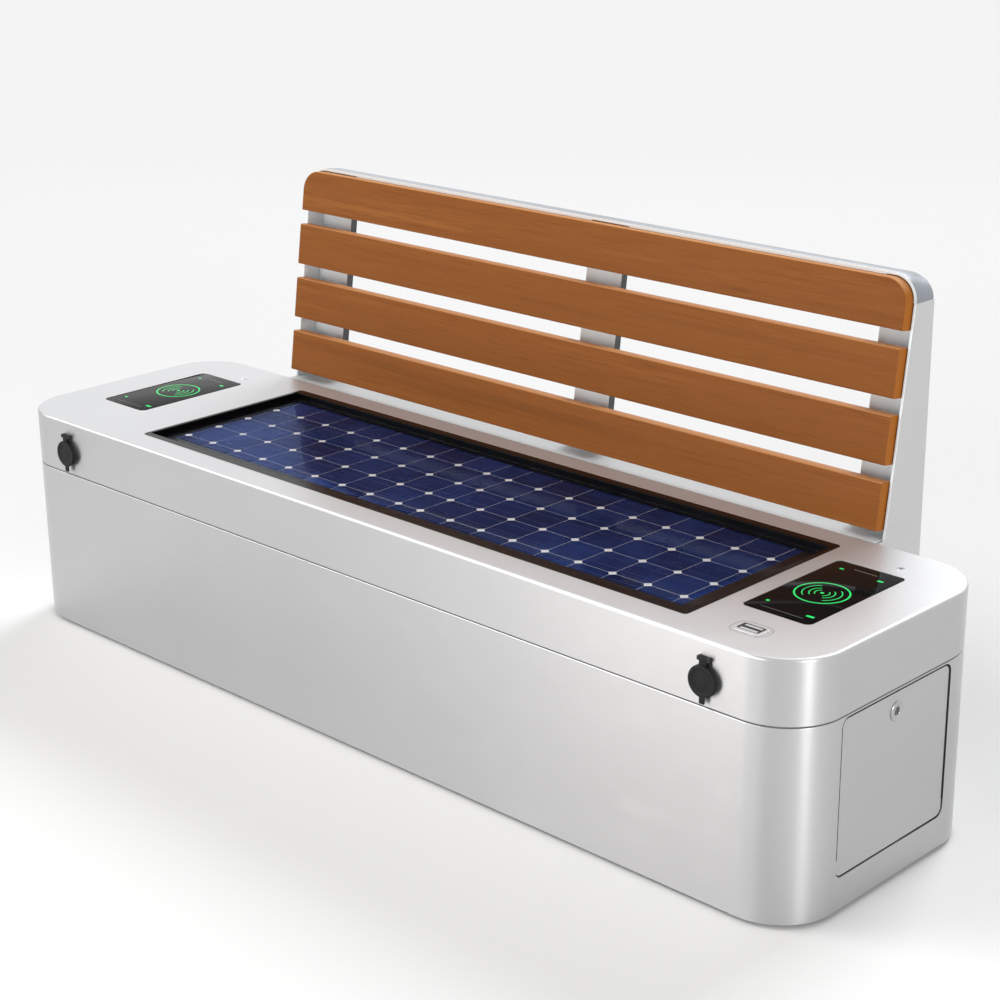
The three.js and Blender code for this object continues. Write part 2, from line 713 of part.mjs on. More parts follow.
function makeLockCam() {
  const core = ontoX(rod(lockCoreRadius, camX, endX - seat));
  const arm = block(camX, camX + camThickness, 0, camReach, -camHalf, camHalf);
  const slot = block(endX - keySlotDepth, endX + overrun, -keySlotHalf, keySlotHalf, -camHalf / 2,
    camHalf / 2);
  return cut(join(core, arm), slot).translate(0, baseMidY, lockZ);
}
addPart('lock_core', makeLockCam(), chromed);

// Equipment: battery and its strap, an upright plate with the charge controller, a converter
const plateFromHoop = 60;
const plateUnderRim = 11; // from the top of the shell down to the top of the plate
const plateThickness = 2;
const plateFoot = 26;
const grommetRadius = 8;
const grommetUnderTop = 48;
const batteryFromHoop = 40;
const batteryFromPlate = 50;
const batteryFromEdges = 125;
const batteryUnderGrommet = 48.4;
const batteryCorner = 8;
const strapWidth = 34;
const strapThickness = 2;
const strapFoot = 24;
const leadSide = 22; // how far each lead runs from the middle of the base

const plateX = endHoopX - hoopBar / 2 - plateFromHoop;
const plateTopZ = shellTopZ - plateUnderRim;
const grommetZ = plateTopZ - grommetUnderTop;
const batteryLowX = middleHoopX + hoopBar / 2 + batteryFromHoop;
const batteryLength = plateX - batteryFromPlate - batteryLowX;
const batteryDepth = baseDepth - 2 * batteryFromEdges;
const batteryMidX = batteryLowX + batteryLength / 2;
const batteryFootZ = floorZ + seat;
const batteryTopZ = grommetZ - batteryUnderGrommet;
const plateHalf = batteryDepth / 2;
const battery = alongZ(roundedRect(batteryLength, batteryDepth, batteryCorner), batteryFootZ, batteryTopZ);
addPart('battery_pack', battery.translate(batteryMidX, baseMidY, 0), batteryCase);

function makeBatteryStrap() {
  const inner = batteryDepth / 2 + seat;
  const outer = inner + strapThickness;
  const footEnd = outer + strapFoot;
  const underZ = batteryTopZ + seat;
  const topZ = underZ + strapThickness;
  const footTopZ = batteryFootZ + strapThickness;
  const shape = outline([[-footEnd, batteryFootZ], [-inner, batteryFootZ], [-inner, underZ],
    [inner, underZ], [inner, batteryFootZ], [footEnd, batteryFootZ], [footEnd, footTopZ],
    [outer, footTopZ], [outer, topZ], [-outer, topZ], [-outer, footTopZ], [-footEnd, footTopZ]]);
  const strap = alongX(shape, batteryMidX - strapWidth / 2, batteryMidX + strapWidth / 2);
  return strap.translate(0, baseMidY, 0);
}
addPart('battery_strap', makeBatteryStrap(), galvanised);

function makeEquipmentPlate() {
  const footTopZ = batteryFootZ + plateThickness;
  const backX = plateX + plateThickness;
  const shape = outline([[plateX, batteryFootZ], [plateX + plateFoot, batteryFootZ],
    [plateX + plateFoot, footTopZ], [backX, footTopZ], [backX, plateTopZ], [plateX, plateTopZ]]);
  const plate = alongY(shape, baseMidY - plateHalf, baseMidY + plateHalf);
  const hole = ontoX(rod(grommetRadius, plateX - overrun, plateX + plateThickness + overrun, roundSteps / 2));
  return cut(plate, hole.translate(0, baseMidY + leadSide, grommetZ));
}
addPart('equipment_plate', makeEquipmentPlate(), galvanised);

const controllerDepth = 34;
const controllerFromSides = 32;
const controllerUnderTop = 84;
const controllerHeight = 112;
const controllerHalf = plateHalf - controllerFromSides;
const controllerTopZ = plateTopZ - controllerUnderTop;
const controllerLowZ = controllerTopZ - controllerHeight;
const controllerCorner = 6;
const controllerX = plateX + plateThickness + seat;
const controllerShape = roundedRect(2 * controllerHalf, controllerHeight, controllerCorner);
const controller = alongX(controllerShape, controllerX, controllerX + controllerDepth);
addPart('charge_controller', controller.translate(0, baseMidY, (controllerTopZ + controllerLowZ) / 2),
  greyPlastic);

const converterMidX = 20;
const converterLength = 190;
const converterHalf = 60;
const converterBody = 34;
const finHeight = 22;
const finCount = 7;
const finShare = 0.4; // of the pitch that a fin fills

function makeConverter() {
  const footZ = floorZ + seat;
  const shoulderZ = footZ + converterBody;
  const points = [[-converterHalf, footZ], [converterHalf, footZ]];
  const pitch = 2 * converterHalf / (finCount - 1 + finShare);
  for (let index = finCount - 1; index >= 0; index -= 1) {
    const low = -converterHalf + index * pitch;
    const high = low + pitch * finShare;
    if (index < finCount - 1) points.push([high, shoulderZ]);
    points.push([high, shoulderZ + finHeight], [low, shoulderZ + finHeight]);
    if (index > 0) points.push([low, shoulderZ]);
  }
  const lowX = converterMidX - converterLength / 2;
  return alongX(outline(points), lowX, lowX + converterLength).translate(0, baseMidY, 0);
}
addPart('power_converter', makeConverter(), darkSteel);

// Leads inside the base, from the battery and the panel to the controller
const leadRadius = 4;
const leadSteps = 24;
const leadArcs = 4; // steps in half of the section
const leadTurn = 26;
const terminalShare = 1 / 3; // of the battery's length, from its middle to the terminal

function makeLead(points) {
  const curve = new THREE.CatmullRomCurve3(points.map((point) => new THREE.Vector3(...point)));
  const section = new THREE.Shape();
  section.absarc(0, 0, leadRadius, 0, 2 * Math.PI);
  const options = { steps: leadSteps, extrudePath: curve, curveSegments: leadArcs };
  return new THREE.ExtrudeGeometry(section, { ...options, bevelEnabled: false });
}

const leadDropX = controllerX + controllerDepth / 2;
const batteryLeadY = baseMidY + leadSide;
const batteryPostX = batteryMidX + batteryLength * terminalShare;
addPart('battery_lead', makeLead([
  [batteryPostX, batteryLeadY, batteryTopZ + seat],
  [batteryPostX, batteryLeadY, batteryTopZ + leadTurn / 2],
  [batteryPostX + leadTurn, batteryLeadY, grommetZ - leadRadius],
  [plateX - leadTurn, batteryLeadY, grommetZ],
  [plateX + plateThickness, batteryLeadY, grommetZ],
  [leadDropX, batteryLeadY, grommetZ - leadTurn / 2],
  [leadDropX, batteryLeadY, controllerTopZ + seat],
]), cableSheath);

const panelLeadY = baseMidY - leadSide;
const panelLeadZ = hoopTopZ - hoopBar - seat - leadRadius;
addPart('panel_lead', makeLead([
  [panelShift, panelLeadY, junctionFootZ - seat],
  [panelShift, panelLeadY, junctionFootZ - leadTurn / 2],
  [panelShift + leadTurn, panelLeadY, panelLeadZ],
  [middleHoopX, panelLeadY, panelLeadZ],
  [batteryMidX, panelLeadY, panelLeadZ],
  [plateX, panelLeadY, panelLeadZ - leadTurn / 2],
  [leadDropX, panelLeadY, panelLeadZ - 2 * leadTurn],
  [leadDropX, panelLeadY, controllerTopZ + leadTurn],
  [leadDropX, panelLeadY, controllerTopZ + seat],
]), cableSheath);

// Backrest: slats on three posts inside a leaning sheet frame, on a beam bolted to the base
const slatCount = 4;
const slatFromEnd = 218;
const slatLength = benchLength - 2 * slatFromEnd;
const slatThickness = 27;
const slatGap = 26;
const slatEdge = 2.5;
const slatSetback = 14; // from the base's rear to the foot of the slats
const leanRun = 54; // how far back the top of the slats stands from their foot
const slatRise = 10; // from the deck up to the foot of the slats
const slatFootZ = seatHeight + slatRise;
const bandSheet = 4;
const bandClear = 2;
const bandCorner = 44;
const bandLap = 8; // how far the frame comes forward past the back of the slats
const postWidth = 80;
const postThickness = 16;
const postTopDepth = 5.4; // what the upright back of the frame leaves of a post's top
const bracketWidth = 40;
const bracketHeight = 44;

const slatFrontY = baseRearY + slatSetback;
const slatTopZ = benchHeight - bandSheet - bandClear;
const lean = Math.atan2(leanRun, slatTopZ - slatFootZ);
const postSetback = (backDepth - slatSetback - leanRun - postTopDepth) * Math.cos(lean);
const slatRun = (slatTopZ - slatFootZ) / Math.cos(lean);
const slatHeight = (slatRun - (slatCount - 1) * slatGap) / slatCount;
const slatPitch = slatHeight + slatGap;
const bandInnerX = slatLength / 2 + bandClear;
const bandOuterX = bandInnerX + bandSheet;
const bandFrontOffset = slatThickness - bandLap;
const bandFootZ = benchHeight - bandCorner;
const bandSeam = seat;

// The y of a plane that lies this far behind the front of the slats, at a height
function leaningY(offset, z) {
  return slatFrontY + (z - slatFootZ) * Math.tan(lean) + offset / Math.cos(lean);
}

const slats = new THREE.Group();
slats.position.set(0, slatFrontY, slatFootZ);
slats.rotation.x = -lean;
bench.add(slats);

function makeSlat(topCorner) {
  const half = slatLength / 2;
  const shape = new THREE.Shape();
  shape.moveTo(-half, 0);
  shape.lineTo(half, 0);
  shape.lineTo(half, slatHeight - topCorner);
  if (topCorner > 0) shape.absarc(half - topCorner, slatHeight - topCorner, topCorner, 0, Math.PI / 2);
  shape.lineTo(-half + topCorner, slatHeight);
  if (topCorner > 0) {
    shape.absarc(-half + topCorner, slatHeight - topCorner, topCorner, Math.PI / 2, Math.PI);
  }
  const options = {
    depth: slatThickness - 2 * slatEdge,
    bevelThickness: slatEdge,
    bevelSize: slatEdge,
    bevelOffset: -slatEdge,
    bevelSegments: smallSteps,
    curveSegments: cornerSteps,
  };
  const board = new THREE.ExtrudeGeometry(shape, options);
  const turn = new THREE.Matrix4().makeBasis(axisX, axisZ, axisY.clone().negate());
  return board.applyMatrix4(turn).translate(0, slatThickness - slatEdge, 0);
}

for (let index = 0; index < slatCount; index += 1) {
  const corner = index === 0 ? bandCorner - bandSheet - bandClear : 0;
  const slat = addPart(`slat_${index + 1}`, makeSlat(corner), timber, slats);
  slat.position.z = (slatCount - 1 - index) * slatPitch;
}

// Beam across the foot of the backrest, against the rear of the hood
const beamWall = 3;
const beamTopDrop = 8; // from the deck down to the top of the beam
const beamFootZ = hoodFootZ;
const beamTopZ = seatHeight - beamTopDrop;
const beamHalf = bandInnerX - seat;
const beamShape = frameShape(baseRearY + seat, backY, beamFootZ, beamTopZ, beamWall);
addPart('lower_beam', alongX(beamShape, -beamHalf, beamHalf), brushedSteel);

// Side plates: wedges with a leaning front edge and an upright rear edge
const sideShape = outline([
  [baseRearY + seat, beamFootZ],
  [backY, beamFootZ],
  [backY, bandFootZ - bandSeam],
  [leaningY(bandFrontOffset, bandFootZ - bandSeam), bandFootZ - bandSeam],
  [leaningY(bandFrontOffset, beamTopZ), beamTopZ],
  [baseRearY + seat, beamTopZ],
]);
addPart('left_side_plate', alongX(sideShape, -bandOuterX, -bandInnerX), brushedSteel);
addPart('right_side_plate', alongX(sideShape, bandInnerX, bandOuterX), brushedSteel);

// Top band: the sheet that wraps over the slats from one side plate to the other
function makeTopBand() {
  const inner = bandCorner - bandSheet;
  const turnX = bandOuterX - bandCorner;
  const shape = new THREE.Shape();
  shape.moveTo(bandOuterX, bandFootZ);
  shape.absarc(turnX, bandFootZ, bandCorner, 0, Math.PI / 2);
  shape.absarc(-turnX, bandFootZ, bandCorner, Math.PI / 2, Math.PI);
  shape.lineTo(-bandInnerX, bandFootZ);
  shape.absarc(-turnX, bandFootZ, inner, Math.PI, Math.PI / 2, true);
  shape.absarc(turnX, bandFootZ, inner, Math.PI / 2, 0, true);
  const band = alongY(shape, slatFrontY, backY, cornerSteps);
  const lowZ = bandFootZ - overrun;
  const highZ = benchHeight + overrun;
  const front = outline([[slatFrontY - overrun, lowZ], [leaningY(bandFrontOffset, lowZ), lowZ],
    [leaningY(bandFrontOffset, highZ), highZ], [slatFrontY - overrun, highZ]]);
  return cut(band, alongX(front, -benchLength, benchLength));
}
addPart('top_band', makeTopBand(), brushedSteel);

// Posts: flat bars that lean with the slats, each with four welded brackets that hold them
const postFootZ = beamTopZ + seat;
const bracketDepth = postSetback - slatThickness - seat;

// The room inside the sheet frame, kept clear of its band and rounded as it is
function insideBand(clear) {
  const half = bandInnerX - clear;
  const turnX = bandOuterX - bandCorner;
  const shape = new THREE.Shape();
  shape.moveTo(-half, postFootZ);
  shape.lineTo(half, postFootZ);
  shape.absarc(turnX, bandFootZ, half - turnX, 0, Math.PI / 2);
  shape.absarc(-turnX, bandFootZ, half - turnX, Math.PI / 2, Math.PI);
  return alongY(shape, -benchDepth, backY - clear, cornerSteps);
}

function makePost(middleX, lowX, highX) {
  const reach = slatRun + postWidth;
  const bar = block(lowX, highX, postSetback, postSetback + postThickness, -reach, reach);
  const brackets = [];
  for (let index = 0; index < slatCount; index += 1) {
    const z = index * slatPitch + slatHeight / 2;
    brackets.push(block(middleX - bracketWidth / 2, middleX + bracketWidth / 2,
      postSetback - bracketDepth, postSetback + overrun, z - bracketHeight / 2, z + bracketHeight / 2));
  }
  const turn = new THREE.Matrix4().makeRotationX(-lean).setPosition(0, slatFrontY, slatFootZ);
  return common(join(bar, ...brackets).applyMatrix4(turn), insideBand(seat));
}

const sidePostX = bandInnerX - seat - postWidth / 2;
for (const [name, x] of [['left_post', -sidePostX], ['middle_post', panelShift], ['right_post', sidePostX]]) {
  addPart(name, makePost(x, x - postWidth / 2, x + postWidth / 2), satinSteel);
}

export default bench;
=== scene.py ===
import json
import math

import bmesh
import bpy
from mathutils import Matrix, Vector


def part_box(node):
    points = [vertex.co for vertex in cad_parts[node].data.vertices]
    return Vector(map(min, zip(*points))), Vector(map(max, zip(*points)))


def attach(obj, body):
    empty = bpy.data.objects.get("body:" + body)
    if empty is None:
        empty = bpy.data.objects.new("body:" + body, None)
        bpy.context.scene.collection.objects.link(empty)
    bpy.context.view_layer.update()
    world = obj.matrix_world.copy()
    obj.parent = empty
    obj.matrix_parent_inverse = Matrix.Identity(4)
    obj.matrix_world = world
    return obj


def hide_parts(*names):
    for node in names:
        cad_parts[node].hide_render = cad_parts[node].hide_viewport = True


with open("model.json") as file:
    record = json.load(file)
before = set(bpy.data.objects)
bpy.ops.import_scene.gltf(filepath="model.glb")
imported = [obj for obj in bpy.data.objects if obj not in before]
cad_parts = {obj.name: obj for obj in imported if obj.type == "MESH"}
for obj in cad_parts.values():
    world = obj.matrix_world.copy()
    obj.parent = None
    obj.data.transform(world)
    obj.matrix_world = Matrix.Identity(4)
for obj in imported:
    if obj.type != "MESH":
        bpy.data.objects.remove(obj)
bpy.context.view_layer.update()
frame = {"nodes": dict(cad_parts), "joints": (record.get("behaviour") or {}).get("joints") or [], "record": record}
nodes = frame["nodes"]
mm = 0.001


# A node's output, with the usual operators adding Math nodes to its tree
class Wire:
    def __init__(self, tree, socket):
        self.tree = tree
        self.socket = socket

    def join(self, operation, first, second=None):
        made = self.tree.nodes.new("ShaderNodeMath")
        made.operation = operation
        for place, value in enumerate((first, second)):
            if value is not None:
                plugIn(self.tree, made.inputs[place], value)
        return Wire(self.tree, made.outputs[0])

    def __add__(self, other):
        return self.join("ADD", self, other)

    def __radd__(self, other):
        return self.join("ADD", other, self)

    def __sub__(self, other):
        return self.join("SUBTRACT", self, other)

    def __rsub__(self, other):
        return self.join("SUBTRACT", other, self)

    def __mul__(self, other):
        return self.join("MULTIPLY", self, other)

    def __rmul__(self, other):
        return self.join("MULTIPLY", other, self)

    def __truediv__(self, other):
        return self.join("DIVIDE", self, other)

    def __pow__(self, other):
        return self.join("POWER", self, other)

    def __abs__(self):
        return self.join("ABSOLUTE", self)

    def moreOf(self, other):
        return self.join("MAXIMUM", self, other)

    def under(self, limit):
        return self.join("LESS_THAN", self, limit)

    def fraction(self):
        return self.join("FRACT", self)

    def sine(self):
        return self.join("SINE", self)

    def cosine(self):
        return self.join("COSINE", self)

    # the angle of a point that lies this far up and that far across
    def angleOver(self, across):
        return self.join("ARCTAN2", self, across)

    # 0 at low and below, 1 at high and above, smooth between
    def rise(self, low, high):
        made = self.tree.nodes.new("ShaderNodeMapRange")
        made.interpolation_type = "SMOOTHSTEP"
        plugIn(self.tree, made.inputs["Value"], self)
        made.inputs["From Min"].default_value = low
        made.inputs["From Max"].default_value = high
        return Wire(self.tree, made.outputs["Result"])

    # 1 within a band of this half width, with soft edges
    def band(self, middle, half, soft):
        return 1 - abs(self - middle).rise(half - soft, half + soft)


def plugIn(tree, socket, value):
    if isinstance(value, Wire):
        tree.links.new(value.socket, socket)
    elif isinstance(value, (tuple, list, Vector)):
        wanted = len(socket.default_value)
        socket.default_value = (tuple(value) + (1.0,))[:wanted]
    else:
        socket.default_value = value


# A node tree with one method for every kind of node
class Workbench:
    def __init__(self, tree):
        self.tree = tree

    def node(self, kind, settings=None, inputs=None, output=0):
        made = self.tree.nodes.new(kind)
        for key, value in (settings or {}).items():
            if key == "stops":
                fillRamp(made.color_ramp, value)
            else:
                setattr(made, key, value)
        for key, value in (inputs or {}).items():
            plugIn(self.tree, made.inputs[key], value)
        return Wire(self.tree, made.outputs[output])

    def parts(self, vector):
        split = self.tree.nodes.new("ShaderNodeSeparateXYZ")
        plugIn(self.tree, split.inputs[0], vector)
        return [Wire(self.tree, split.outputs[axis]) for axis in range(3)]

    def blend(self, factor, first, second, kind="MIX"):
        return self.node("ShaderNodeMix", {"data_type": "RGBA", "blend_type": kind},
                         {0: factor, 6: first, 7: second}, 2)

    def noise(self, vector, scale, detail=2.0, roughness=0.5, stretch=None):
        if stretch:
            vector = self.node("ShaderNodeMapping", None, {"Vector": vector, "Scale": stretch})
        return self.node("ShaderNodeTexNoise", None,
                         {"Vector": vector, "Scale": scale, "Detail": detail, "Roughness": roughness})

    def ramp(self, factor, stops):
        return self.node("ShaderNodeValToRGB", {"stops": stops}, {"Fac": factor})

    def bump(self, height, strength, distance):
        return self.node("ShaderNodeBump", None,
                         {"Height": height, "Strength": strength, "Distance": distance})


def fillRamp(ramp, stops):
    while len(ramp.elements) < len(stops):
        ramp.elements.new(0.5)
    for element, (place, color) in zip(ramp.elements, stops):
        element.position = place
        element.color = (*color, 1.0)


# A material and its tree: the recipe gives what varies, the constants go on the shader's own sockets
class Finish(Workbench):
    def __init__(self, name, constants=None):
        self.material = bpy.data.materials.new(name)
        self.material.use_nodes = True
        super().__init__(self.material.node_tree)
        self.tree.nodes.clear()
        self.shader = self.tree.nodes.new("ShaderNodeBsdfPrincipled")
        output = self.tree.nodes.new("ShaderNodeOutputMaterial")
        self.tree.links.new(self.shader.outputs[0], output.inputs["Surface"])
        for key, value in (constants or {}).items():
            plugIn(self.tree, self.shader.inputs[key], value)

    def place(self):
        return self.node("ShaderNodeTexCoord", output="Object")

    def normal(self):
        return self.node("ShaderNodeNewGeometry", output="Normal")

    def wear(self, **varying):
        names = {"color": "Base Color", "roughness": "Roughness", "metallic": "Metallic", "normal": "Normal",
                 "alpha": "Alpha", "coat": "Coat Weight", "glow": "Emission Color"}
        for key, value in varying.items():
            plugIn(self.tree, self.shader.inputs[names[key]], value)
        return self.material


# Camera, in the place that the bench's own edges in the photograph give
view = {
    "place": (2.3972, -2.3952, 1.5423),
    "turn": 0.7719,  # to the left of straight ahead, in radians
    "tip": 0.3366,  # down from level
    "roll": -0.0098,
    "lens": 76.55,
}


def makeCamera():
    turn, tip, roll = view["turn"], view["tip"], view["roll"]
    ahead = Vector((-math.sin(turn) * math.cos(tip), math.cos(turn) * math.cos(tip), -math.sin(tip)))
    side = ahead.cross(Vector((0, 0, 1))).normalized()
    up = side.cross(ahead)
    right = math.cos(roll) * side + math.sin(roll) * up
    top = math.cos(roll) * up - math.sin(roll) * side
    camera = bpy.data.objects.new("camera", bpy.data.cameras.new("camera"))
    bpy.context.scene.collection.objects.link(camera)
    camera.data.sensor_width = 36
    camera.data.lens = view["lens"]
    camera.data.clip_end = 200
    camera.matrix_world = Matrix((right, top, -ahead)).transposed().to_4x4()
    camera.location = view["place"]
    bpy.context.scene.camera = camera


makeCamera()
print("camera: set")


# Studio: a plain pale floor, a soft sky that shows white, four soft distant lamps and upright softboxes
studio = {
    "skyLow": 0.24,
    "skyHigh": 0.24,
    "skyShown": 1.0,
    "floorAlbedo": 0.92,
    # each lamp: where it shines from, how wide it looks in degrees, its strength and its color
    "lamps": {
        "key": ((-3.4, -2.2, 3.2), 26, 1.0, (1.0, 0.985, 0.965)),
        "low": ((-0.6, -3.6, 0.75), 30, 0.62, (0.97, 0.985, 1.0)),
        "fill": ((3.4, -1.2, 2.2), 24, 0.2, (1.0, 0.98, 0.95)),
        "back": ((-0.6, 3.2, 2.9), 26, 1.5, (0.97, 0.985, 1.0)),
    },
    # each softbox: where it stands, how wide and tall it is, its strength and its color
    "boxes": {
        "left_box": ((-0.8, -2.7, 0.7), (0.8, 1.2), 20, (1.0, 0.96, 0.92)),
        "right_box": ((3.7, -1.0, 0.9), (0.5, 1.6), 30, (1.0, 0.98, 0.95)),
        "rear_box": ((-3.4, 3.9, 2.3), (4.6, 2.0), 6, (0.95, 0.98, 1.0)),
    },
}


def makeWorld():
    world = bpy.data.worlds.new("studio_sky")
    world.use_nodes = True
    bench = Workbench(world.node_tree)
    bench.tree.nodes.clear()
    z = bench.parts(bench.node("ShaderNodeTexCoord", output="Generated"))[2]
    path = bench.tree.nodes.new("ShaderNodeLightPath")
    shown = Wire(bench.tree, path.outputs["Is Camera Ray"])
    for kind in ("Is Glossy Ray", "Is Transmission Ray"):
        shown = shown.moreOf(Wire(bench.tree, path.outputs[kind]))
    level = studio["skyLow"] + z.rise(0.1, 1.0) * studio["skyHigh"]
    back = bench.tree.nodes.new("ShaderNodeBackground")
    plugIn(bench.tree, back.inputs["Strength"], level + shown * (studio["skyShown"] - level))
    output = bench.tree.nodes.new("ShaderNodeOutputWorld")
    bench.tree.links.new(back.outputs[0], output.inputs["Surface"])
    back.inputs["Color"].default_value = (1, 1, 1, 1)
    bpy.context.scene.world = world


def hangLamp(name, kind, place, away, power, color):
    lamp = bpy.data.objects.new(name, bpy.data.lights.new(name, kind))
    bpy.context.scene.collection.objects.link(lamp)
    lamp.location = place
    lamp.rotation_euler = Vector(away).to_track_quat("Z", "Y").to_euler()
    lamp.data.energy = power
    lamp.data.color = color
    return lamp


def makeLamps():
    for name, (place, wide, power, color) in studio["lamps"].items():
        hangLamp(name, "SUN", place, place, power, color).data.angle = math.radians(wide)
    for name, (place, size, power, color) in studio["boxes"].items():
        lamp = hangLamp(name, "AREA", place, (place[0], place[1], 0), power, color)
        lamp.data.shape = "RECTANGLE"
        lamp.data.size, lamp.data.size_y = size
        lamp.visible_camera = False


def makeFloor():
    material = bpy.data.materials.new("floor")
    material.use_nodes = True
    bench = Workbench(material.node_tree)
    bench.tree.nodes.clear()
    matt = bench.tree.nodes.new("ShaderNodeBsdfDiffuse")
    albedo = studio["floorAlbedo"]
    matt.inputs["Color"].default_value = (albedo, albedo, albedo, 1)
    output = bench.tree.nodes.new("ShaderNodeOutputMaterial")
    bench.tree.links.new(matt.outputs[0], output.inputs["Surface"])
    mesh = bpy.data.meshes.new("floor")
    reach = 40.0
    corners = [(-reach, -reach, 0), (reach, -reach, 0), (reach, reach, 0), (-reach, reach, 0)]
    mesh.from_pydata(corners, [], [(0, 1, 2, 3)])
    mesh.materials.append(material)
    floor = bpy.data.objects.new("floor", mesh)
    bpy.context.scene.collection.objects.link(floor)


makeWorld()
makeLamps()
makeFloor()
bpy.context.scene.view_settings.view_transform = "Standard"
print("studio: sky, lamps and floor")


# Brushed steel: fine lines along the sheet, faint cloudiness and handling marks
steel = {
    "lineScale": 900.0,  # brush lines to the metre
    "lineStretch": 5.0,
    "cloudScale": 3.2,
    "smudgeScale": 14.0,
}


def brushedSteel(name, color, roughness, metal, streak, spread=0.07):
    finish = Finish(name, {"Metallic": metal, "Specular IOR Level": 0.5, "Anisotropic": streak,
                           "Anisotropic Rotation": 0.25})
    place = finish.place()
    lines, stretch = steel["lineScale"], steel["lineStretch"]
    wall = finish.noise(place, 1.0, 1.0, 0.5, (stretch, stretch, lines))
    deck = finish.noise(place, 1.0, 1.0, 0.5, (stretch, lines, stretch))
    facing = abs(finish.parts(finish.normal())[2]).rise(0.6, 0.9)
    brushing = wall * (1 - facing) + deck * facing
    cloud = finish.noise(place, steel["cloudScale"], 3.0)
    smudge = finish.noise(place, steel["smudgeScale"], 4.0, 0.6)
    tone = finish.blend(cloud, [c * 0.965 for c in color], [min(1.0, c * 1.03) for c in color])
    tone = finish.blend((brushing - 0.5) * 0.16 + 0.08, tone, [c * 0.8 for c in color])
    rough = roughness + (brushing - 0.5) * spread + smudge.rise(0.52, 0.75) * 0.035
    return finish.wear(color=tone, roughness=rough, normal=finish.bump(brushing, 0.06, 0.0002))


# Zinc coated steel: the flakes of its coating, dull and uneven
def zincCoated(name):
    finish = Finish(name, {"Metallic": 0.9})
    place = finish.place()
    flake = finish.node("ShaderNodeTexVoronoi", {"feature": "F1"}, {"Vector": place, "Scale": 70.0}, "Color")
    shade = finish.parts(flake)[0]
    tone = finish.ramp(shade, [(0.0, (0.42, 0.44, 0.46)), (0.5, (0.5, 0.52, 0.54)), (1.0, (0.6, 0.61, 0.62))])
    soot = finish.noise(place, 6.0, 4.0)
    tone = finish.blend(soot.rise(0.5, 0.8) * 0.4, tone, (0.34, 0.34, 0.34))
    return finish.wear(color=tone, roughness=0.42 + shade * 0.16, normal=finish.bump(shade, 0.05, 0.0003))


# Timber: long grain, darker pores and a tone of its own for each board; its paler end faces and pale top faces are
# painted light
timber = {
    "dark": (0.138, 0.039, 0.007),
    "middle": (0.235, 0.074, 0.014),
    "light": (0.34, 0.122, 0.026),
    # end: colour of the end faces, more orange as end grain is, and paler, which is painted light
    "end": (0.46, 0.15, 0.018),
    # top: colour of the upward faces, pale with painted light from above
    "top": (0.8, 0.36, 0.13),
    "grainLength": 1.3,
    "grainScale": 46.0,
    "poreScale": 520.0,
}


def oiledTimber():
    finish = Finish("oiled_timber", {"Specular IOR Level": 0.12})
    tone = finish.node("ShaderNodeAttribute", {"attribute_name": "boardTone"}, output="Fac")
    shift = finish.node("ShaderNodeCombineXYZ", None, {"X": tone * 31.0, "Y": tone * 17.0, "Z": tone * 23.0})
    place = finish.node("ShaderNodeVectorMath", {"operation": "ADD"}, {0: finish.place(), 1: shift})
    grain = timber["grainScale"]
    figure = finish.noise(place, 1.0, 5.0, 0.55, (timber["grainLength"], grain, grain))
    bend = finish.noise(place, 1.0, 2.0, 0.5, (0.7, 7.0, 7.0))
    pores = finish.noise(place, 1.0, 2.0, 0.6, (11.0, timber["poreScale"], timber["poreScale"]))
    rings = figure * 0.72 + bend * 0.28
    color = finish.ramp(rings, [(0.3, timber["dark"]), (0.47, timber["middle"]), (0.56, timber["middle"]),
                                (0.72, timber["light"])])
    color = finish.blend(pores.rise(0.5, 0.7) * 0.6, color, timber["dark"])
    color = finish.blend((tone - 0.5) * 0.3 + 0.15, color, timber["light"])
    acrossX, _, upward = finish.parts(finish.normal())
    # end faces: end grain colour, made paler with painted light
    color = finish.blend(abs(acrossX).rise(0.5, 0.95) * 0.75, color, timber["end"])
    # upward faces paler: painted light from above
    color = finish.blend(upward.rise(0.3, 0.9) * 0.7, color, timber["top"])
    rough = 0.46 + pores * 0.16 - rings * 0.06
    height = figure * 0.5 + pores * 0.5
    return finish.wear(color=color, roughness=rough, normal=finish.bump(height, 0.18, 0.0004))


# Moulded plastics and rubber: a fine spark grain, with a slight bloom on the rubber
def moulded(name, color, roughness, grainScale=900.0, depth=0.12, bloom=0.12, gloss=0.4):
    finish = Finish(name, {"Specular IOR Level": gloss})
    place = finish.place()
    grain = finish.noise(place, grainScale, 2.0)
    cloud = finish.noise(place, 11.0, 4.0)
    tone = finish.blend(cloud.rise(0.45, 0.8) * bloom, color, [min(1.0, c * 1.8 + 0.02) for c in color])
    return finish.wear(color=tone, roughness=roughness + (grain - 0.5) * 0.1 + cloud * 0.05,
                       normal=finish.bump(grain, depth, 0.0002))


def polished(name, color, roughness):
    finish = Finish(name, {"Metallic": 1.0})
    place = finish.place()
    haze = finish.noise(place, 60.0, 3.0)
    tone = finish.blend(haze, color, [c * 0.93 for c in color])
    return finish.wear(color=tone, roughness=roughness + haze.rise(0.4, 0.8) * 0.06)


# Solar glass: clear, with an anti-glare coat that mirrors little
def solarGlass():
    finish = Finish("solar_glass", {"Specular IOR Level": 0.5, "IOR": 1.5})
    haze = finish.noise(finish.place(), 7.0, 3.0)
    return finish.wear(color=finish.blend(haze, (0.01, 0.014, 0.03), (0.016, 0.02, 0.036)),
                       roughness=0.03 + haze.rise(0.45, 0.8) * 0.03, alpha=0.06 + haze.rise(0.4, 0.9) * 0.02)


# Solar cell: dark blue, a tone of its own for each cell, with printed fingers across it
cellLook = {
    "deep": (0.006, 0.017, 0.08),
    "bright": (0.022, 0.058, 0.25),
    "fingerPitch": 2.1 * mm,
}


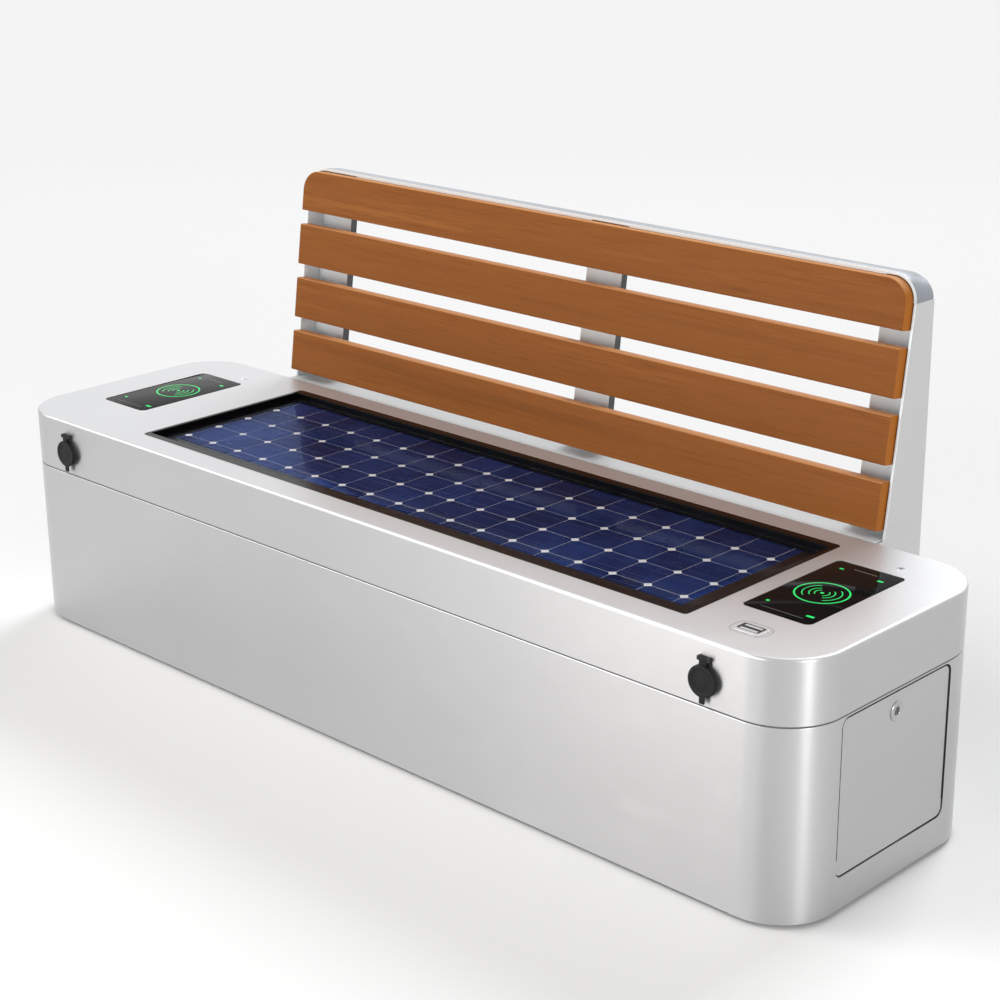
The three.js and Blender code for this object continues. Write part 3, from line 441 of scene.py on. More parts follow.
def solarCell():
    finish = Finish("solar_cell", {"Metallic": 0.35, "Specular IOR Level": 0.02,
                                   "Specular Tint": (0.3, 0.5, 1.0)})
    place = finish.place()
    tone = finish.node("ShaderNodeAttribute", {"attribute_name": "cellTone"}, output="Fac")
    finger = (finish.parts(place)[1] / cellLook["fingerPitch"]).fraction().band(0.5, 0.1, 0.05)
    sheen = finish.noise(place, 9.0, 3.0)
    color = finish.blend(tone * 0.4 + sheen.rise(0.35, 0.8) * 0.5, cellLook["deep"], cellLook["bright"])
    color = finish.blend(finger * 0.04, color, (0.06, 0.1, 0.26))
    return finish.wear(color=color, roughness=0.24 + sheen * 0.06)


# Charger glass: black, with a green ring, arcs and a few plain marks printed behind it; the green marks also glow,
# a painted glow
charger = {
    "ease": 0.4 * mm,
    "green": (0.03, 0.72, 0.16),
    "ring": 40.0 * mm,
    "arcs": [29.0 * mm, 19.0 * mm, 11.0 * mm],  # the radius of each pair
    "arcHalf": 0.95,
    "stroke": 1.3 * mm,
    "ringShift": {"left": 10.0 * mm, "right": -7.0 * mm},  # from the middle of the glass to the rear
    # plain bars in the corners: shares of the width and depth, half their length and width in mm
    "bars": [(0.16, 0.16, 2.6, 2.6), (0.84, 0.12, 6.5, 2.6), (0.8, 0.86, 5.0, 2.2), (0.2, 0.88, 3.4, 2.0)],
}


def chargerGlass(end):
    finish = Finish(end + "_charger_glass", {"Specular IOR Level": 0.03, "Emission Strength": 0.4})
    low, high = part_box(end + "_charger_glass")
    middle = (low + high) / 2
    x, y = finish.parts(finish.place())[:2]
    u = x - middle.x
    v = y - middle.y
    w = v - charger["ringShift"][end]
    radius = (u * u + w * w) ** 0.5
    angle = abs(w.angleOver(u))
    stroke = charger["stroke"]
    marks = radius.band(charger["ring"], stroke, 0.3 * mm)
    half = charger["arcHalf"]
    side = angle.band(0.0, half, 0.05).moreOf(angle.band(math.pi, half, 0.05))
    for arc in charger["arcs"]:
        marks = marks.moreOf(radius.band(arc, stroke * 0.62, 0.3 * mm) * side)
    marks = marks.moreOf(1 - radius.rise(2.6 * mm, 3.2 * mm))
    halfX = (high.x - low.x) / 2
    halfY = (high.y - low.y) / 2
    for left, front, long, wide in charger["bars"]:
        du = abs(u - halfX * (2 * left - 1)) - long * mm
        dv = abs(v - halfY * (2 * front - 1)) - wide * mm
        marks = marks.moreOf(1 - du.moreOf(dv).rise(-0.4 * mm, 0.4 * mm))
    frontLine = (abs(u) - halfX * 0.62).moreOf(abs(v + halfY * 0.86) - 0.6 * mm)
    rearLine = (abs(u) - halfX * 0.34).moreOf(abs(v - halfY * 0.84) - 0.9 * mm)
    pale = (1 - frontLine.rise(-0.2 * mm, 0.2 * mm)).moreOf(1 - rearLine.rise(-0.3 * mm, 0.3 * mm))
    haze = finish.noise(finish.place(), 24.0, 3.0)
    color = finish.blend(marks, (0.006, 0.007, 0.008), charger["green"])
    color = finish.blend(pale * 0.35, color, (0.5, 0.52, 0.52))
    # the green marks glow on their own: painted light from their emission
    glow = finish.blend(marks, (0.0, 0.0, 0.0), charger["green"])
    return finish.wear(color=color, roughness=0.05 + haze.rise(0.45, 0.8) * 0.07, glow=glow)


looks = {
    "steel": brushedSteel("brushed_stainless", (0.53, 0.53, 0.535), 0.36, 0.97, 0.72),
    # paler than the side steel: painted light from above, on a more satin finish
    "deck": brushedSteel("satin_deck", (0.66, 0.665, 0.68), 0.4, 0.6, 0.0),
    "frame": brushedSteel("brushed_frame", (0.62, 0.62, 0.62), 0.36, 0.9, 0.6),
    # dark bluish tone: a painted dark reflection on the band's top and corners
    "band": brushedSteel("brushed_band", (0.3, 0.32, 0.35), 0.34, 0.95, 0.6),
    # near-white bluish tone: painted light on faces that lie in shade behind the slats, and painted highlights on
    # front edges
    "post": brushedSteel("satin_bar", (0.88, 0.95, 1.0), 0.5, 0.0, 0.0),
    # near-black: painted shade on the posts' side faces
    "shadedSide": brushedSteel("sawn_edge", (0.1, 0.105, 0.115), 0.5, 0.2, 0.0),
    "zinc": zincCoated("zinc_coated"),
    "timber": oiledTimber(),
    "glass": solarGlass(),
    "cell": solarCell(),
    "backsheet": moulded("cell_backsheet", (0.95, 0.96, 0.98), 0.5, 300.0, 0.03, 0.0),
    "ribbon": polished("cell_ribbon", (0.08, 0.12, 0.26), 0.45),
    "blackFrame": moulded("black_frame", (0.002, 0.002, 0.0024), 0.3, 900.0, 0.05, 0.1, 0.15),
    "chromed": polished("chromed", (0.82, 0.83, 0.85), 0.09),
    "bezel": polished("lock_bezel", (0.5, 0.5, 0.5), 0.24),
    "plug": polished("lock_plug", (0.16, 0.16, 0.165), 0.3),
    "bezelBlack": moulded("black_bezel", (0.002, 0.002, 0.0024), 0.2, 600.0, 0.02, 0.1, 0.12),
    "lens": polished("sensor_lens", (0.02, 0.021, 0.024), 0.12),
    "rubber": moulded("black_rubber", (0.006, 0.006, 0.0065), 0.6, 700.0, 0.2, 0.1, 0.25),
    # mid grey rubber for the hood seal, which lightens the seam line
    "greySealRubber": moulded("dusty_rubber", (0.13, 0.13, 0.13), 0.7, 700.0, 0.2, 0.3),
    "blackPlastic": moulded("black_plastic", (0.016, 0.016, 0.018), 0.48),
    "greyPlastic": moulded("grey_plastic", (0.22, 0.23, 0.24), 0.5),
    "whitePlastic": moulded("white_plastic", (0.78, 0.79, 0.8), 0.4, 900.0, 0.05, 0.0),
    "battery": moulded("battery_case", (0.03, 0.075, 0.16), 0.45),
    "anodised": moulded("anodised_black", (0.03, 0.032, 0.036), 0.36, 1200.0, 0.06),
    "copper": polished("copper_winding", (0.78, 0.38, 0.18), 0.3),
    "sheath": moulded("cable_sheath", (0.014, 0.014, 0.015), 0.5, 600.0, 0.08),
}
looks["leftCharger"] = chargerGlass("left")
looks["rightCharger"] = chargerGlass("right")
print("materials:", len(looks))


# Mesh helpers
def newPiece(name, mesh, look, smoothUnder=38):
    mesh.name = name
    mesh.materials.clear()
    mesh.materials.append(looks[look])
    mesh.shade_smooth()
    mesh.set_sharp_from_angle(angle=math.radians(smoothUnder))
    piece = bpy.data.objects.new(name, mesh)
    bpy.context.scene.collection.objects.link(piece)
    return piece


def meshOf(bm, name="piece"):
    mesh = bpy.data.meshes.new(name)
    bm.to_mesh(mesh)
    bm.free()
    return mesh


# The faces that a test on their normals picks take a second look
def faceLook(piece, look, picks):
    piece.data.materials.append(looks[look])
    last = len(piece.data.materials) - 1
    for face in piece.data.polygons:
        if picks(face.normal):
            face.material_index = last
    return piece


# The result of a piece's modifiers becomes its mesh
def settle(piece):
    bpy.context.view_layer.update()
    graph = bpy.context.evaluated_depsgraph_get()
    mesh = bpy.data.meshes.new_from_object(piece.evaluated_get(graph), preserve_all_data_layers=True,
                                           depsgraph=graph)
    piece.modifiers.clear()
    piece.data = mesh
    return piece


def easeEdges(piece, width, segments=2, over=40):
    bevel = piece.modifiers.new("ease", "BEVEL")
    bevel.width = width
    bevel.segments = segments
    bevel.limit_method = "ANGLE"
    bevel.angle_limit = math.radians(over)
    bevel.miter_outer = "MITER_ARC"
    bevel.use_clamp_overlap = True
    weigh = piece.modifiers.new("weigh", "WEIGHTED_NORMAL")
    weigh.keep_sharp = True
    weigh.weight = 80
    return settle(piece)


def cutAway(piece, *tools):
    for tool in tools:
        cut = piece.modifiers.new("cut", "BOOLEAN")
        cut.operation = "DIFFERENCE"
        cut.solver = "EXACT"
        cut.object = tool
    settle(piece)
    for tool in tools:
        bpy.data.objects.remove(tool)
    return piece


def planLoop(low, high, corner, inset, steps):
    halfX = (high.x - low.x) / 2 - inset
    halfY = (high.y - low.y) / 2 - inset
    radius = max(corner - inset, corner / 8)
    middle = (low + high) / 2
    points = []
    for quarter, (sideX, sideY) in enumerate(((1, 1), (-1, 1), (-1, -1), (1, -1))):
        for step in range(steps + 1):
            angle = math.pi / 2 * (quarter + step / steps)
            points.append((middle.x + sideX * (halfX - radius) + radius * math.cos(angle),
                           middle.y + sideY * (halfY - radius) + radius * math.sin(angle)))
    return points


# Faces from each loop of points to the next, closed on itself or capped at both ends
def skin(bm, loops, closed=False):
    count = len(loops[0])
    pairs = list(zip(loops, loops[1:]))
    if closed:
        pairs.append((loops[-1], loops[0]))
    for lower, upper in pairs:
        for index in range(count):
            after = (index + 1) % count
            bm.faces.new((lower[index], lower[after], upper[after], upper[index]))
    if not closed:
        bm.faces.new(list(reversed(loops[0])))
        bm.faces.new(loops[-1])


# A profile of (inset, height) swept round a rounded rectangle
def sweptPlan(low, high, corner, profile, steps, closed=False):
    bm = bmesh.new()
    loops = []
    for inset, z in profile:
        loops.append([bm.verts.new((x, y, z)) for x, y in planLoop(low, high, corner, inset, steps)])
    skin(bm, loops, closed)
    return bm


# The points between the two ends of a rounded edge, bulging outwards or hollow
def quarterArc(fromInset, fromZ, toInset, toZ, steps, hollow=False):
    points = []
    for step in range(1, steps):
        angle = math.pi / 2 * step / steps
        slow, fast = 1 - math.cos(angle), math.sin(angle)
        along, up = (fast, slow) if hollow else (slow, fast)
        points.append((fromInset + (toInset - fromInset) * along, fromZ + (toZ - fromZ) * up))
    return points


# The plan outline, as two corners, of a rectangle with these half sizes about a point
def around(middle, half):
    reach = Vector((half[0], half[1], 0))
    flat = Vector((middle.x, middle.y, 0))
    return flat - reach, flat + reach


def blockTool(low, high):
    bm = bmesh.new()
    addBlock(bm, low, high)
    return toolObject(bm)


def roundTool(low, high, corner, steps=8):
    return toolObject(sweptPlan(low, high, corner, [(0, low.z), (0, high.z)], steps))


def rodTool(middle, radius, length, axis, steps=48):
    bm = bmesh.new()
    bmesh.ops.create_cone(bm, cap_ends=True, segments=steps, radius1=radius, radius2=radius, depth=length)
    turn = Vector((0, 0, 1)).rotation_difference(Vector(axis)).to_matrix().to_4x4()
    bmesh.ops.transform(bm, matrix=Matrix.Translation(middle) @ turn, verts=bm.verts)
    return toolObject(bm)


def toolObject(bm):
    tool = bpy.data.objects.new("tool", meshOf(bm, "tool"))
    bpy.context.scene.collection.objects.link(tool)
    return tool


# A profile of (radius, place along the axis) turned about an axis through a point
def turnedMesh(profile, middle, axis, steps=64):
    bm = bmesh.new()
    rings = []
    for radius, along in profile:
        if radius < 1e-7:
            rings.append([bm.verts.new((0, 0, along))])
        else:
            rings.append([bm.verts.new((radius * math.cos(2 * math.pi * step / steps),
                                        radius * math.sin(2 * math.pi * step / steps), along))
                          for step in range(steps)])
    for lower, upper in zip(rings, rings[1:]):
        for step in range(steps):
            after = (step + 1) % steps
            corners = [lower[step % len(lower)], lower[after % len(lower)],
                       upper[after % len(upper)], upper[step % len(upper)]]
            kept = [vert for place, vert in enumerate(corners) if vert not in corners[:place]]
            if len(kept) > 2:
                bm.faces.new(kept)
    bmesh.ops.recalc_face_normals(bm, faces=bm.faces)
    turn = Vector((0, 0, 1)).rotation_difference(Vector(axis)).to_matrix().to_4x4()
    bmesh.ops.transform(bm, matrix=Matrix.Translation(middle) @ turn, verts=bm.verts)
    return bm


def addBlock(bm, low, high):
    made = bmesh.ops.create_cube(bm, size=1.0)["verts"]
    for vert in made:
        vert.co = Vector([(l + h) / 2 + c * (h - l) for l, h, c in zip(low, high, vert.co)])


def mergedPiece(name, meshes, look):
    bm = bmesh.new()
    for mesh in meshes:
        bm.from_mesh(mesh)
        bpy.data.meshes.remove(mesh)
    return newPiece(name, meshOf(bm), look)


# What lies past a plane is cut off, and the cut is closed
def trimAt(bm, place, normal):
    whole = bm.verts[:] + bm.edges[:] + bm.faces[:]
    made = bmesh.ops.bisect_plane(bm, geom=whole, plane_co=place, plane_no=normal, clear_outer=True)
    edges = [item for item in made["geom_cut"] if isinstance(item, bmesh.types.BMEdge)]
    bmesh.ops.holes_fill(bm, edges=edges, sides=0)


# Plans drawn flat are stood on edge, so that their x, y and z become the bench's y, z and x
def stoodUp(bm):
    for vert in bm.verts:
        vert.co = Vector((vert.co.z, vert.co.x, vert.co.y))
    return bm


# A merged copy of a CAD node, with its flat faces made whole and its edges eased
def refined(node, look, ease=0.4 * mm, name=None, slot=None):
    bm = bmesh.new()
    bm.from_mesh(nodes[node].data)
    bmesh.ops.remove_doubles(bm, verts=bm.verts, dist=0.002 * mm)
    bmesh.ops.dissolve_limit(bm, angle_limit=math.radians(0.5), verts=bm.verts, edges=bm.edges)
    piece = newPiece(name or node + "_finish", meshOf(bm), look)
    easeEdges(piece, ease)
    return keep(piece, node, slot=slot)


def keep(piece, *stoodFor, body=None, slot=None):
    owner = body or next(b for b, members in frame["record"]["behaviour"]["bodies"].items()
                         if stoodFor[0] in members)
    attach(piece, owner)
    if stoodFor:
        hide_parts(*stoodFor)
    return piece


# Hood: deck and skirt in one pressing, with its cut-outs
hood = {
    "corner": 96 * mm,
    "edge": 5 * mm,
    "wall": 3 * mm,
    "hem": 0.8 * mm,
    "cornerSteps": 28,
    "edgeSteps": 8,
    "panelFit": 0.5 * mm,
    "panelCorner": 4 * mm,
    "chargerFit": 0.5 * mm,
    "chargerCorner": 11 * mm,
    "sensorHole": 4.3 * mm,
    "socketHole": 14.3 * mm,
    "socketUp": 23 * mm,  # from the foot of a socket's flange to its middle
    "lip": 0.5 * mm,
}


def grown(box, by, low=None, high=None):
    lowest = Vector((box[0].x - by, box[0].y - by, box[0].z if low is None else low))
    highest = Vector((box[1].x + by, box[1].y + by, box[1].z if high is None else high))
    return lowest, highest


def makeHood():
    low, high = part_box("deck_hood")
    edge, wall, hem, steps = hood["edge"], hood["wall"], hood["hem"], hood["edgeSteps"]
    underZ = high.z - wall
    profile = [(edge, underZ), *quarterArc(edge, underZ, wall, high.z - edge, steps, True),
               (wall, high.z - edge), (wall, low.z + hem), (wall - hem, low.z), (hem, low.z),
               (0, low.z + hem), (0, high.z - edge), *quarterArc(0, high.z - edge, edge, high.z, steps),
               (edge, high.z)]
    bm = sweptPlan(low, high, hood["corner"], profile, hood["cornerSteps"])
    piece = newPiece("hood_sheet", meshOf(bm), "steel")
    above, below = high.z + 5 * mm, underZ - 5 * mm
    tools = [roundTool(*grown(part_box("solar_frame"), hood["panelFit"], below, above), hood["panelCorner"])]
    for end in ("left", "right"):
        tools.append(roundTool(*grown(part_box(end + "_charger_glass"), hood["chargerFit"], below, above),
                               hood["chargerCorner"]))
        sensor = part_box(end + "_light_sensor")
        middle = (sensor[0] + sensor[1]) / 2
        tools.append(rodTool((middle.x, middle.y, underZ), hood["sensorHole"], 20 * mm, (0, 0, 1), 32))
        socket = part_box(end + "_power_socket")
        middleX = (socket[0].x + socket[1].x) / 2
        tools.append(rodTool((middleX, low.y, socket[0].z + hood["socketUp"]), hood["socketHole"], 20 * mm,
                             (0, 1, 0), 40))
    tools.append(blockTool(*grown(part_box("usb_module"), 0.3 * mm, below, above)))
    cutAway(piece, *tools)
    easeEdges(piece, hood["lip"], 2, 60)
    # the deck is more satin than the sides, and paler: its paler tone is painted light from above
    faceLook(piece, "deck", lambda normal: normal.z > 0.8)
    return keep(piece, "deck_hood", slot="brushed_stainless")


# Lower shell: one wrap with a flange turned in at its top and foot, a doorway and a rear opening
shell = {
    "wall": 2 * mm,
    "flange": 16 * mm,
    "round": 1.2 * mm,
    "doorReveal": 2 * mm,
    "doorCorner": 15 * mm,
    "rearHalf": 763 * mm,
    "rearMargin": 14 * mm,
}


# A rounded rectangle in y and z, made thick along x
def sidewaysSheet(low, high, corner, steps=12):
    flatLow, flatHigh = Vector((low.y, low.z, low.x)), Vector((high.y, high.z, high.x))
    return stoodUp(sweptPlan(flatLow, flatHigh, corner, [(0, flatLow.z), (0, flatHigh.z)], steps))


def makeShell():
    low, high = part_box("lower_shell")
    wall, flange, soft = shell["wall"], shell["flange"], shell["round"]
    profile = [(flange, low.z), (soft, low.z), (0, low.z + soft),
               (0, high.z - soft), *quarterArc(0, high.z - soft, soft, high.z, 3), (soft, high.z),
               (flange, high.z), (flange, high.z - wall), (wall, high.z - wall), (wall, low.z + wall),
               (flange, low.z + wall)]
    bm = sweptPlan(low, high, hood["corner"], profile, hood["cornerSteps"], True)
    piece = newPiece("shell_wrap", meshOf(bm), "steel")
    doorLow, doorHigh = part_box("access_door")
    past, reveal, margin = 5 * mm, shell["doorReveal"], shell["rearMargin"]
    doorway = sidewaysSheet(Vector((high.x - past, doorLow.y - reveal, doorLow.z - reveal)),
                            Vector((high.x + past, doorHigh.y + reveal, doorHigh.z + reveal)),
                            shell["doorCorner"])
    opening = blockTool((-shell["rearHalf"], high.y - past, low.z + margin),
                        (shell["rearHalf"], high.y + past, high.z - margin))
    cutAway(piece, toolObject(doorway), opening)
    easeEdges(piece, 0.3 * mm, 2, 60)
    return keep(piece, "lower_shell", slot="brushed_stainless")


makeHood()
makeShell()
print("base: hood and shell")


# Access door: flat sheet with its rolled hinge knuckle, cut for the lock
door = {
    "sheet": 2.5 * mm,
    "corner": 13 * mm,
    "edge": 0.7 * mm,
    "knuckle": 3 * mm,
    "knuckleHalf": 124 * mm,
    "rodClear": 1.8 * mm,
    "lockHole": 9.3 * mm,
    "edgeStrip": 0.5 * mm,
    "lining": 0.7 * mm,
    "stripDeep": 1.5 * mm,
    "stripBack": 0.35 * mm,
    "stripFoot": 26 * mm,
    "stripLip": 1.5 * mm,
    "stripProud": 0.25 * mm,
}


def jointOf(name):
    return next(joint for joint in frame["joints"] if joint["name"] == name)


def makeDoor():
    low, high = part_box("access_door")
    hinge = Vector(jointOf("door_hinge")["pos_m"])
    lock = Vector(jointOf("lock_turn")["pos_m"])
    backX = high.x - door["sheet"]
    bm = sidewaysSheet(Vector((backX, low.y, low.z)), high, door["corner"], 14)
    piece = newPiece("door_sheet", meshOf(bm), "steel")
    cutAway(piece, rodTool((backX, lock.y, lock.z), door["lockHole"], 20 * mm, (1, 0, 0)))
    easeEdges(piece, door["edge"], 3, 60)
    radius, half = door["knuckle"], door["knuckleHalf"]
    profile = [(door["rodClear"], -half), (radius, -half), (radius, half), (door["rodClear"], half),
               (door["rodClear"], -half)]
    roll = newPiece("door_knuckle", meshOf(turnedMesh(profile, hinge, (0, 1, 0), 32)), "steel")
    keep(piece, "access_door", slot="brushed_stainless")
    keep(roll, body="door", slot="brushed_stainless")


# Black strips that stand in for the shade in the gap round the door, painted shade: one on its edge, one lining
# the doorway
def makeDoorStrips():
    low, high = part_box("access_door")
    deep, back = door["stripDeep"], door["stripBack"]
    inner, outer = high.x - back - deep, high.x - back
    flatLow, flatHigh = Vector((low.y, low.z, inner)), Vector((high.y, high.z, outer))
    touch, thick = 0.02 * mm, door["lining"]
    edge, lip, face, proud = -door["edgeStrip"], door["stripLip"], high.x + touch, high.x + door["stripProud"]
    section = [(-touch, inner), (edge, inner), (edge, proud), (lip, proud), (lip, face), (-touch, face)]
    strip = stoodUp(sweptPlan(flatLow, flatHigh, door["corner"], section, 14, True))
    reveal = Vector((shell["doorReveal"], shell["doorReveal"], 0))
    section = [(thick, inner), (touch, inner), (touch, outer), (thick, outer)]
    lining = stoodUp(sweptPlan(flatLow - reveal, flatHigh + reveal, shell["doorCorner"], section, 14, True))
    # the strip stops short of the hinge, so that it clears the doorway when the door is down
    trimAt(strip, (0, 0, low.z + door["stripFoot"]), (0, 0, -1))
    for bm in (strip, lining):
        bmesh.ops.recalc_face_normals(bm, faces=bm.faces)
    keep(newPiece("door_edge_shade_strip", meshOf(strip), "rubber"), body="door", slot="black_rubber")
    keep(newPiece("doorway_shade_lining", meshOf(lining), "rubber"), body="base", slot="black_rubber")


# Lock: a bright bezel round a turning core with its key slot
lockLook = {
    "slotHalf": 0.7 * mm,
    "slotLong": 4.2 * mm,
    "slotBack": 0.9 * mm,
    "slotDeep": 2.6 * mm,
    "bezel": 15 * mm,
    "body": 9 * mm,
    "core": 6.3 * mm,
    "rim": 0.5 * mm,
    "face": 1.2 * mm,
}


def makeLock():
    low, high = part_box("door_lock")
    middle = Vector(jointOf("lock_turn")["pos_m"])
    rim, face, core = lockLook["rim"], lockLook["face"], lockLook["core"]
    body, bezel = lockLook["body"], lockLook["bezel"]
    profile = [(core, low.x), (body, low.x), (body, high.x - face), (bezel, high.x - face),
               (bezel, high.x - rim), (bezel - rim, high.x), (bezel * 0.72, high.x),
               (bezel * 0.6, high.x - rim), (core + rim, high.x - rim), (core, high.x - 2 * rim),
               (core, low.x)]
    bm = turnedMesh(profile, Vector((0, middle.y, middle.z)), (1, 0, 0), 56)
    keep(newPiece("lock_bezel", meshOf(bm), "bezel"), "door_lock", slot="chromed")
    refined("lock_core", "plug", 0.25 * mm, "lock_plug", "chromed")
    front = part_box("lock_core")[1].x - lockLook["slotBack"]
    half, long = lockLook["slotHalf"], lockLook["slotLong"]
    slot = bmesh.new()
    addBlock(slot, (front - lockLook["slotDeep"], middle.y - half, middle.z - long),
             (front, middle.y + half, middle.z + long))
    keep(newPiece("key_slot", meshOf(slot), "blackPlastic"), body="lock", slot="black_plastic")


makeDoor()
makeDoorStrips()
makeLock()
refined("door_frame", "zinc", 0.5 * mm, slot="galvanised_steel")
print("door: sheet, knuckle and lock")


# Solar panel: tiles on a pale backsheet, a black border printed over their edges, and the glass
panel = {
    "pitch": 68.5 * mm,
    "gap": 0.9 * mm,
    "cut": 7.4 * mm,  # chamfer at the cells' corners, which leaves the pale diamonds
    "rows": 5,
    "firstRow": -170.3 * mm,
    "rightColumn": 600.2 * mm,
    "leftColumn": -478.4 * mm,
    "leftCount": 7,
    "rightCount": 8,
    "window": ((-554 * mm, -197 * mm), (618 * mm, 101 * mm)),
    "rearSpread": 9 * mm,  # how far the sheet reaches under the glass's rear edge
    "flange": ((-581.5 * mm, -245.5 * mm), (664.5 * mm, 126.5 * mm)),
    "flangeLap": 2.5 * mm,
    "flangeHigh": 0.5 * mm,
    "flangeCorner": 7 * mm,
    "tile": 0.15 * mm,
    "ribbonWidth": 0.6 * mm,
    "ribbonShares": (0.27, 0.73),
    "seed": 7,
}


# A tree of Geometry Nodes with these inputs, given as names and kinds
def nodeTree(name, *inputs):
    tree = bpy.data.node_groups.new(name, "GeometryNodeTree")
    tree.interface.new_socket("Geometry", in_out="OUTPUT", socket_type="NodeSocketGeometry")
    sockets = {}
    for label, kind in inputs:
        sockets[label] = tree.interface.new_socket(label, in_out="INPUT", socket_type="NodeSocket" + kind)
    bench = Workbench(tree)
    entry = tree.nodes.new("NodeGroupInput")
    wires = {label: Wire(tree, entry.outputs[label]) for label, kind in inputs}
    return bench, wires, sockets


def endTree(bench, geometry, look):
    whole = bench.node("GeometryNodeRealizeInstances", None, {"Geometry": geometry})
    whole = bench.node("GeometryNodeSetMaterial", None, {"Geometry": whole, "Material": looks[look]})
    output = bench.tree.nodes.new("NodeGroupOutput")
    bench.tree.links.new(whole.socket, output.inputs[0])


# Runs a tree once with these sizes and gives the plain mesh
def grow(bench, sockets, sizes):
    carrier = bpy.data.objects.new("carrier", bpy.data.meshes.new("carrier"))
    bpy.context.scene.collection.objects.link(carrier)
    modifier = carrier.modifiers.new("grow", "NODES")
    modifier.node_group = bench.tree
    for label, value in sizes.items():
        modifier[sockets[label].identifier] = value
    settle(carrier)
    mesh = carrier.data
    bpy.data.objects.remove(carrier)
    return mesh


# A flat or bent sheet of faces gets a thickness and stays closed
def thickened(bench, sheet, depth):
    raised = bench.node("GeometryNodeExtrudeMesh", None,
                        {"Mesh": sheet, "Offset Scale": depth, "Individual": False})
    under = bench.node("GeometryNodeFlipFaces", None, {"Mesh": sheet})
    gather = bench.tree.nodes.new("GeometryNodeJoinGeometry")
    for part in (raised, under):
        bench.tree.links.new(part.socket, gather.inputs[0])
    return bench.node("GeometryNodeMergeByDistance", None,
                      {"Geometry": Wire(bench.tree, gather.outputs[0]), "Distance": 0.00001})


def cellTree():
    bench, size, sockets = nodeTree(
        "solar_cells", ("Columns", "Int"), ("Rows", "Int"), ("Pitch X", "Float"), ("Pitch Y", "Float"),
        ("Gap", "Float"), ("Cut", "Float"), ("Depth", "Float"), ("Start", "Vector"), ("Seed", "Int"))
    outline = bench.node("GeometryNodeCurvePrimitiveQuadrilateral", None,
                         {"Width": size["Pitch X"] - size["Gap"], "Height": size["Pitch Y"] - size["Gap"]})
    outline = bench.node("GeometryNodeFilletCurve", {"mode": "POLY"},
                         {"Curve": outline, "Count": 1, "Radius": size["Cut"]})
    flat = bench.node("GeometryNodeFillCurve", {"mode": "NGONS"}, {"Curve": outline})
    tile = thickened(bench, flat, size["Depth"])
    across = (size["Columns"] - 1) * size["Pitch X"]
    deep = (size["Rows"] - 1) * size["Pitch Y"]
    grid = bench.node("GeometryNodeMeshGrid", None,
                      {"Size X": across, "Size Y": deep, "Vertices X": size["Columns"],
                       "Vertices Y": size["Rows"]})
    shift = bench.node("ShaderNodeCombineXYZ", None, {"X": across * 0.5, "Y": deep * 0.5})
    shift = bench.node("ShaderNodeVectorMath", {"operation": "ADD"}, {0: shift, 1: size["Start"]})
    grid = bench.node("GeometryNodeTransform", None, {"Geometry": grid, "Translation": shift})
    cells = bench.node("GeometryNodeInstanceOnPoints", None, {"Points": grid, "Instance": tile})
    tone = bench.node("FunctionNodeRandomValue", {"data_type": "FLOAT"}, {"Seed": size["Seed"]}, 1)
    cells = bench.node("GeometryNodeStoreNamedAttribute", {"data_type": "FLOAT", "domain": "INSTANCE"},
                       {"Geometry": cells, "Name": "cellTone", "Value": tone})
    endTree(bench, cells, "cell")
    return bench, sockets


def makePanel():
    sheet = grown(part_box("solar_cell_sheet"), 0)
    sheet[1].y += panel["rearSpread"]
    topZ = sheet[1].z
    pitch, tile = panel["pitch"], panel["tile"]
    cellZ = topZ - tile
    bench, sockets = cellTree()
    startY = panel["firstRow"] - pitch / 2
    leftX, rightX = panel["leftColumn"], panel["rightColumn"]
    gapX = rightX - panel["rightCount"] * pitch - (leftX + panel["leftCount"] * pitch)
    groups = [
        (panel["leftCount"] + 2, pitch, leftX - 1.5 * pitch),
        (1, gapX, leftX + panel["leftCount"] * pitch + gapX / 2),
        (panel["rightCount"] + 1, pitch, rightX - (panel["rightCount"] - 0.5) * pitch),
    ]
    meshes = []
    for number, (columns, pitchX, startX) in enumerate(groups):
        meshes.append(grow(bench, sockets, {
            "Columns": columns, "Rows": panel["rows"], "Pitch X": pitchX, "Pitch Y": pitch,
            "Gap": panel["gap"], "Cut": panel["cut"], "Depth": tile, "Start": (startX, startY, cellZ),
            "Seed": panel["seed"] + number}))
    cells = mergedPiece("solar_cells", meshes, "cell")
    # what lies past the sheet's edges is trimmed off
    bm = bmesh.new()
    bm.from_mesh(cells.data)
    for axis in range(2):
        for corner, sign in ((sheet[0], -1), (sheet[1], 1)):
            place, normal = Vector(), Vector()
            place[axis] = corner[axis]
            normal[axis] = sign
            trimAt(bm, place, normal)
    bm.to_mesh(cells.data)
    bm.free()
    keep(cells, body="base", slot="solar_cells")

    bm = bmesh.new()
    addBlock(bm, sheet[0], (sheet[1].x, sheet[1].y, cellZ - 0.02 * mm))
    back = newPiece("cell_backsheet", meshOf(bm), "backsheet")
    easeEdges(back, 0.2 * mm)
    keep(back, "solar_cell_sheet", slot="solar_cells")
    makeRibbons(topZ)
    makeBorder(sheet, topZ)


def makeRibbons(topZ):
    bm = bmesh.new()
    pitch, half = panel["pitch"], panel["ribbonWidth"] / 2
    (lowX, lowY), (highX, highY) = panel["window"]
    start = panel["firstRow"] - pitch
    for row in range(panel["rows"]):
        for share in panel["ribbonShares"]:
            y = start + (row + share) * pitch
            if lowY < y < highY:
                addBlock(bm, (lowX, y - half, topZ), (highX, y + half, topZ + 0.06 * mm))
    keep(newPiece("cell_ribbons", meshOf(bm), "ribbon"), body="base", slot="solar_cells")


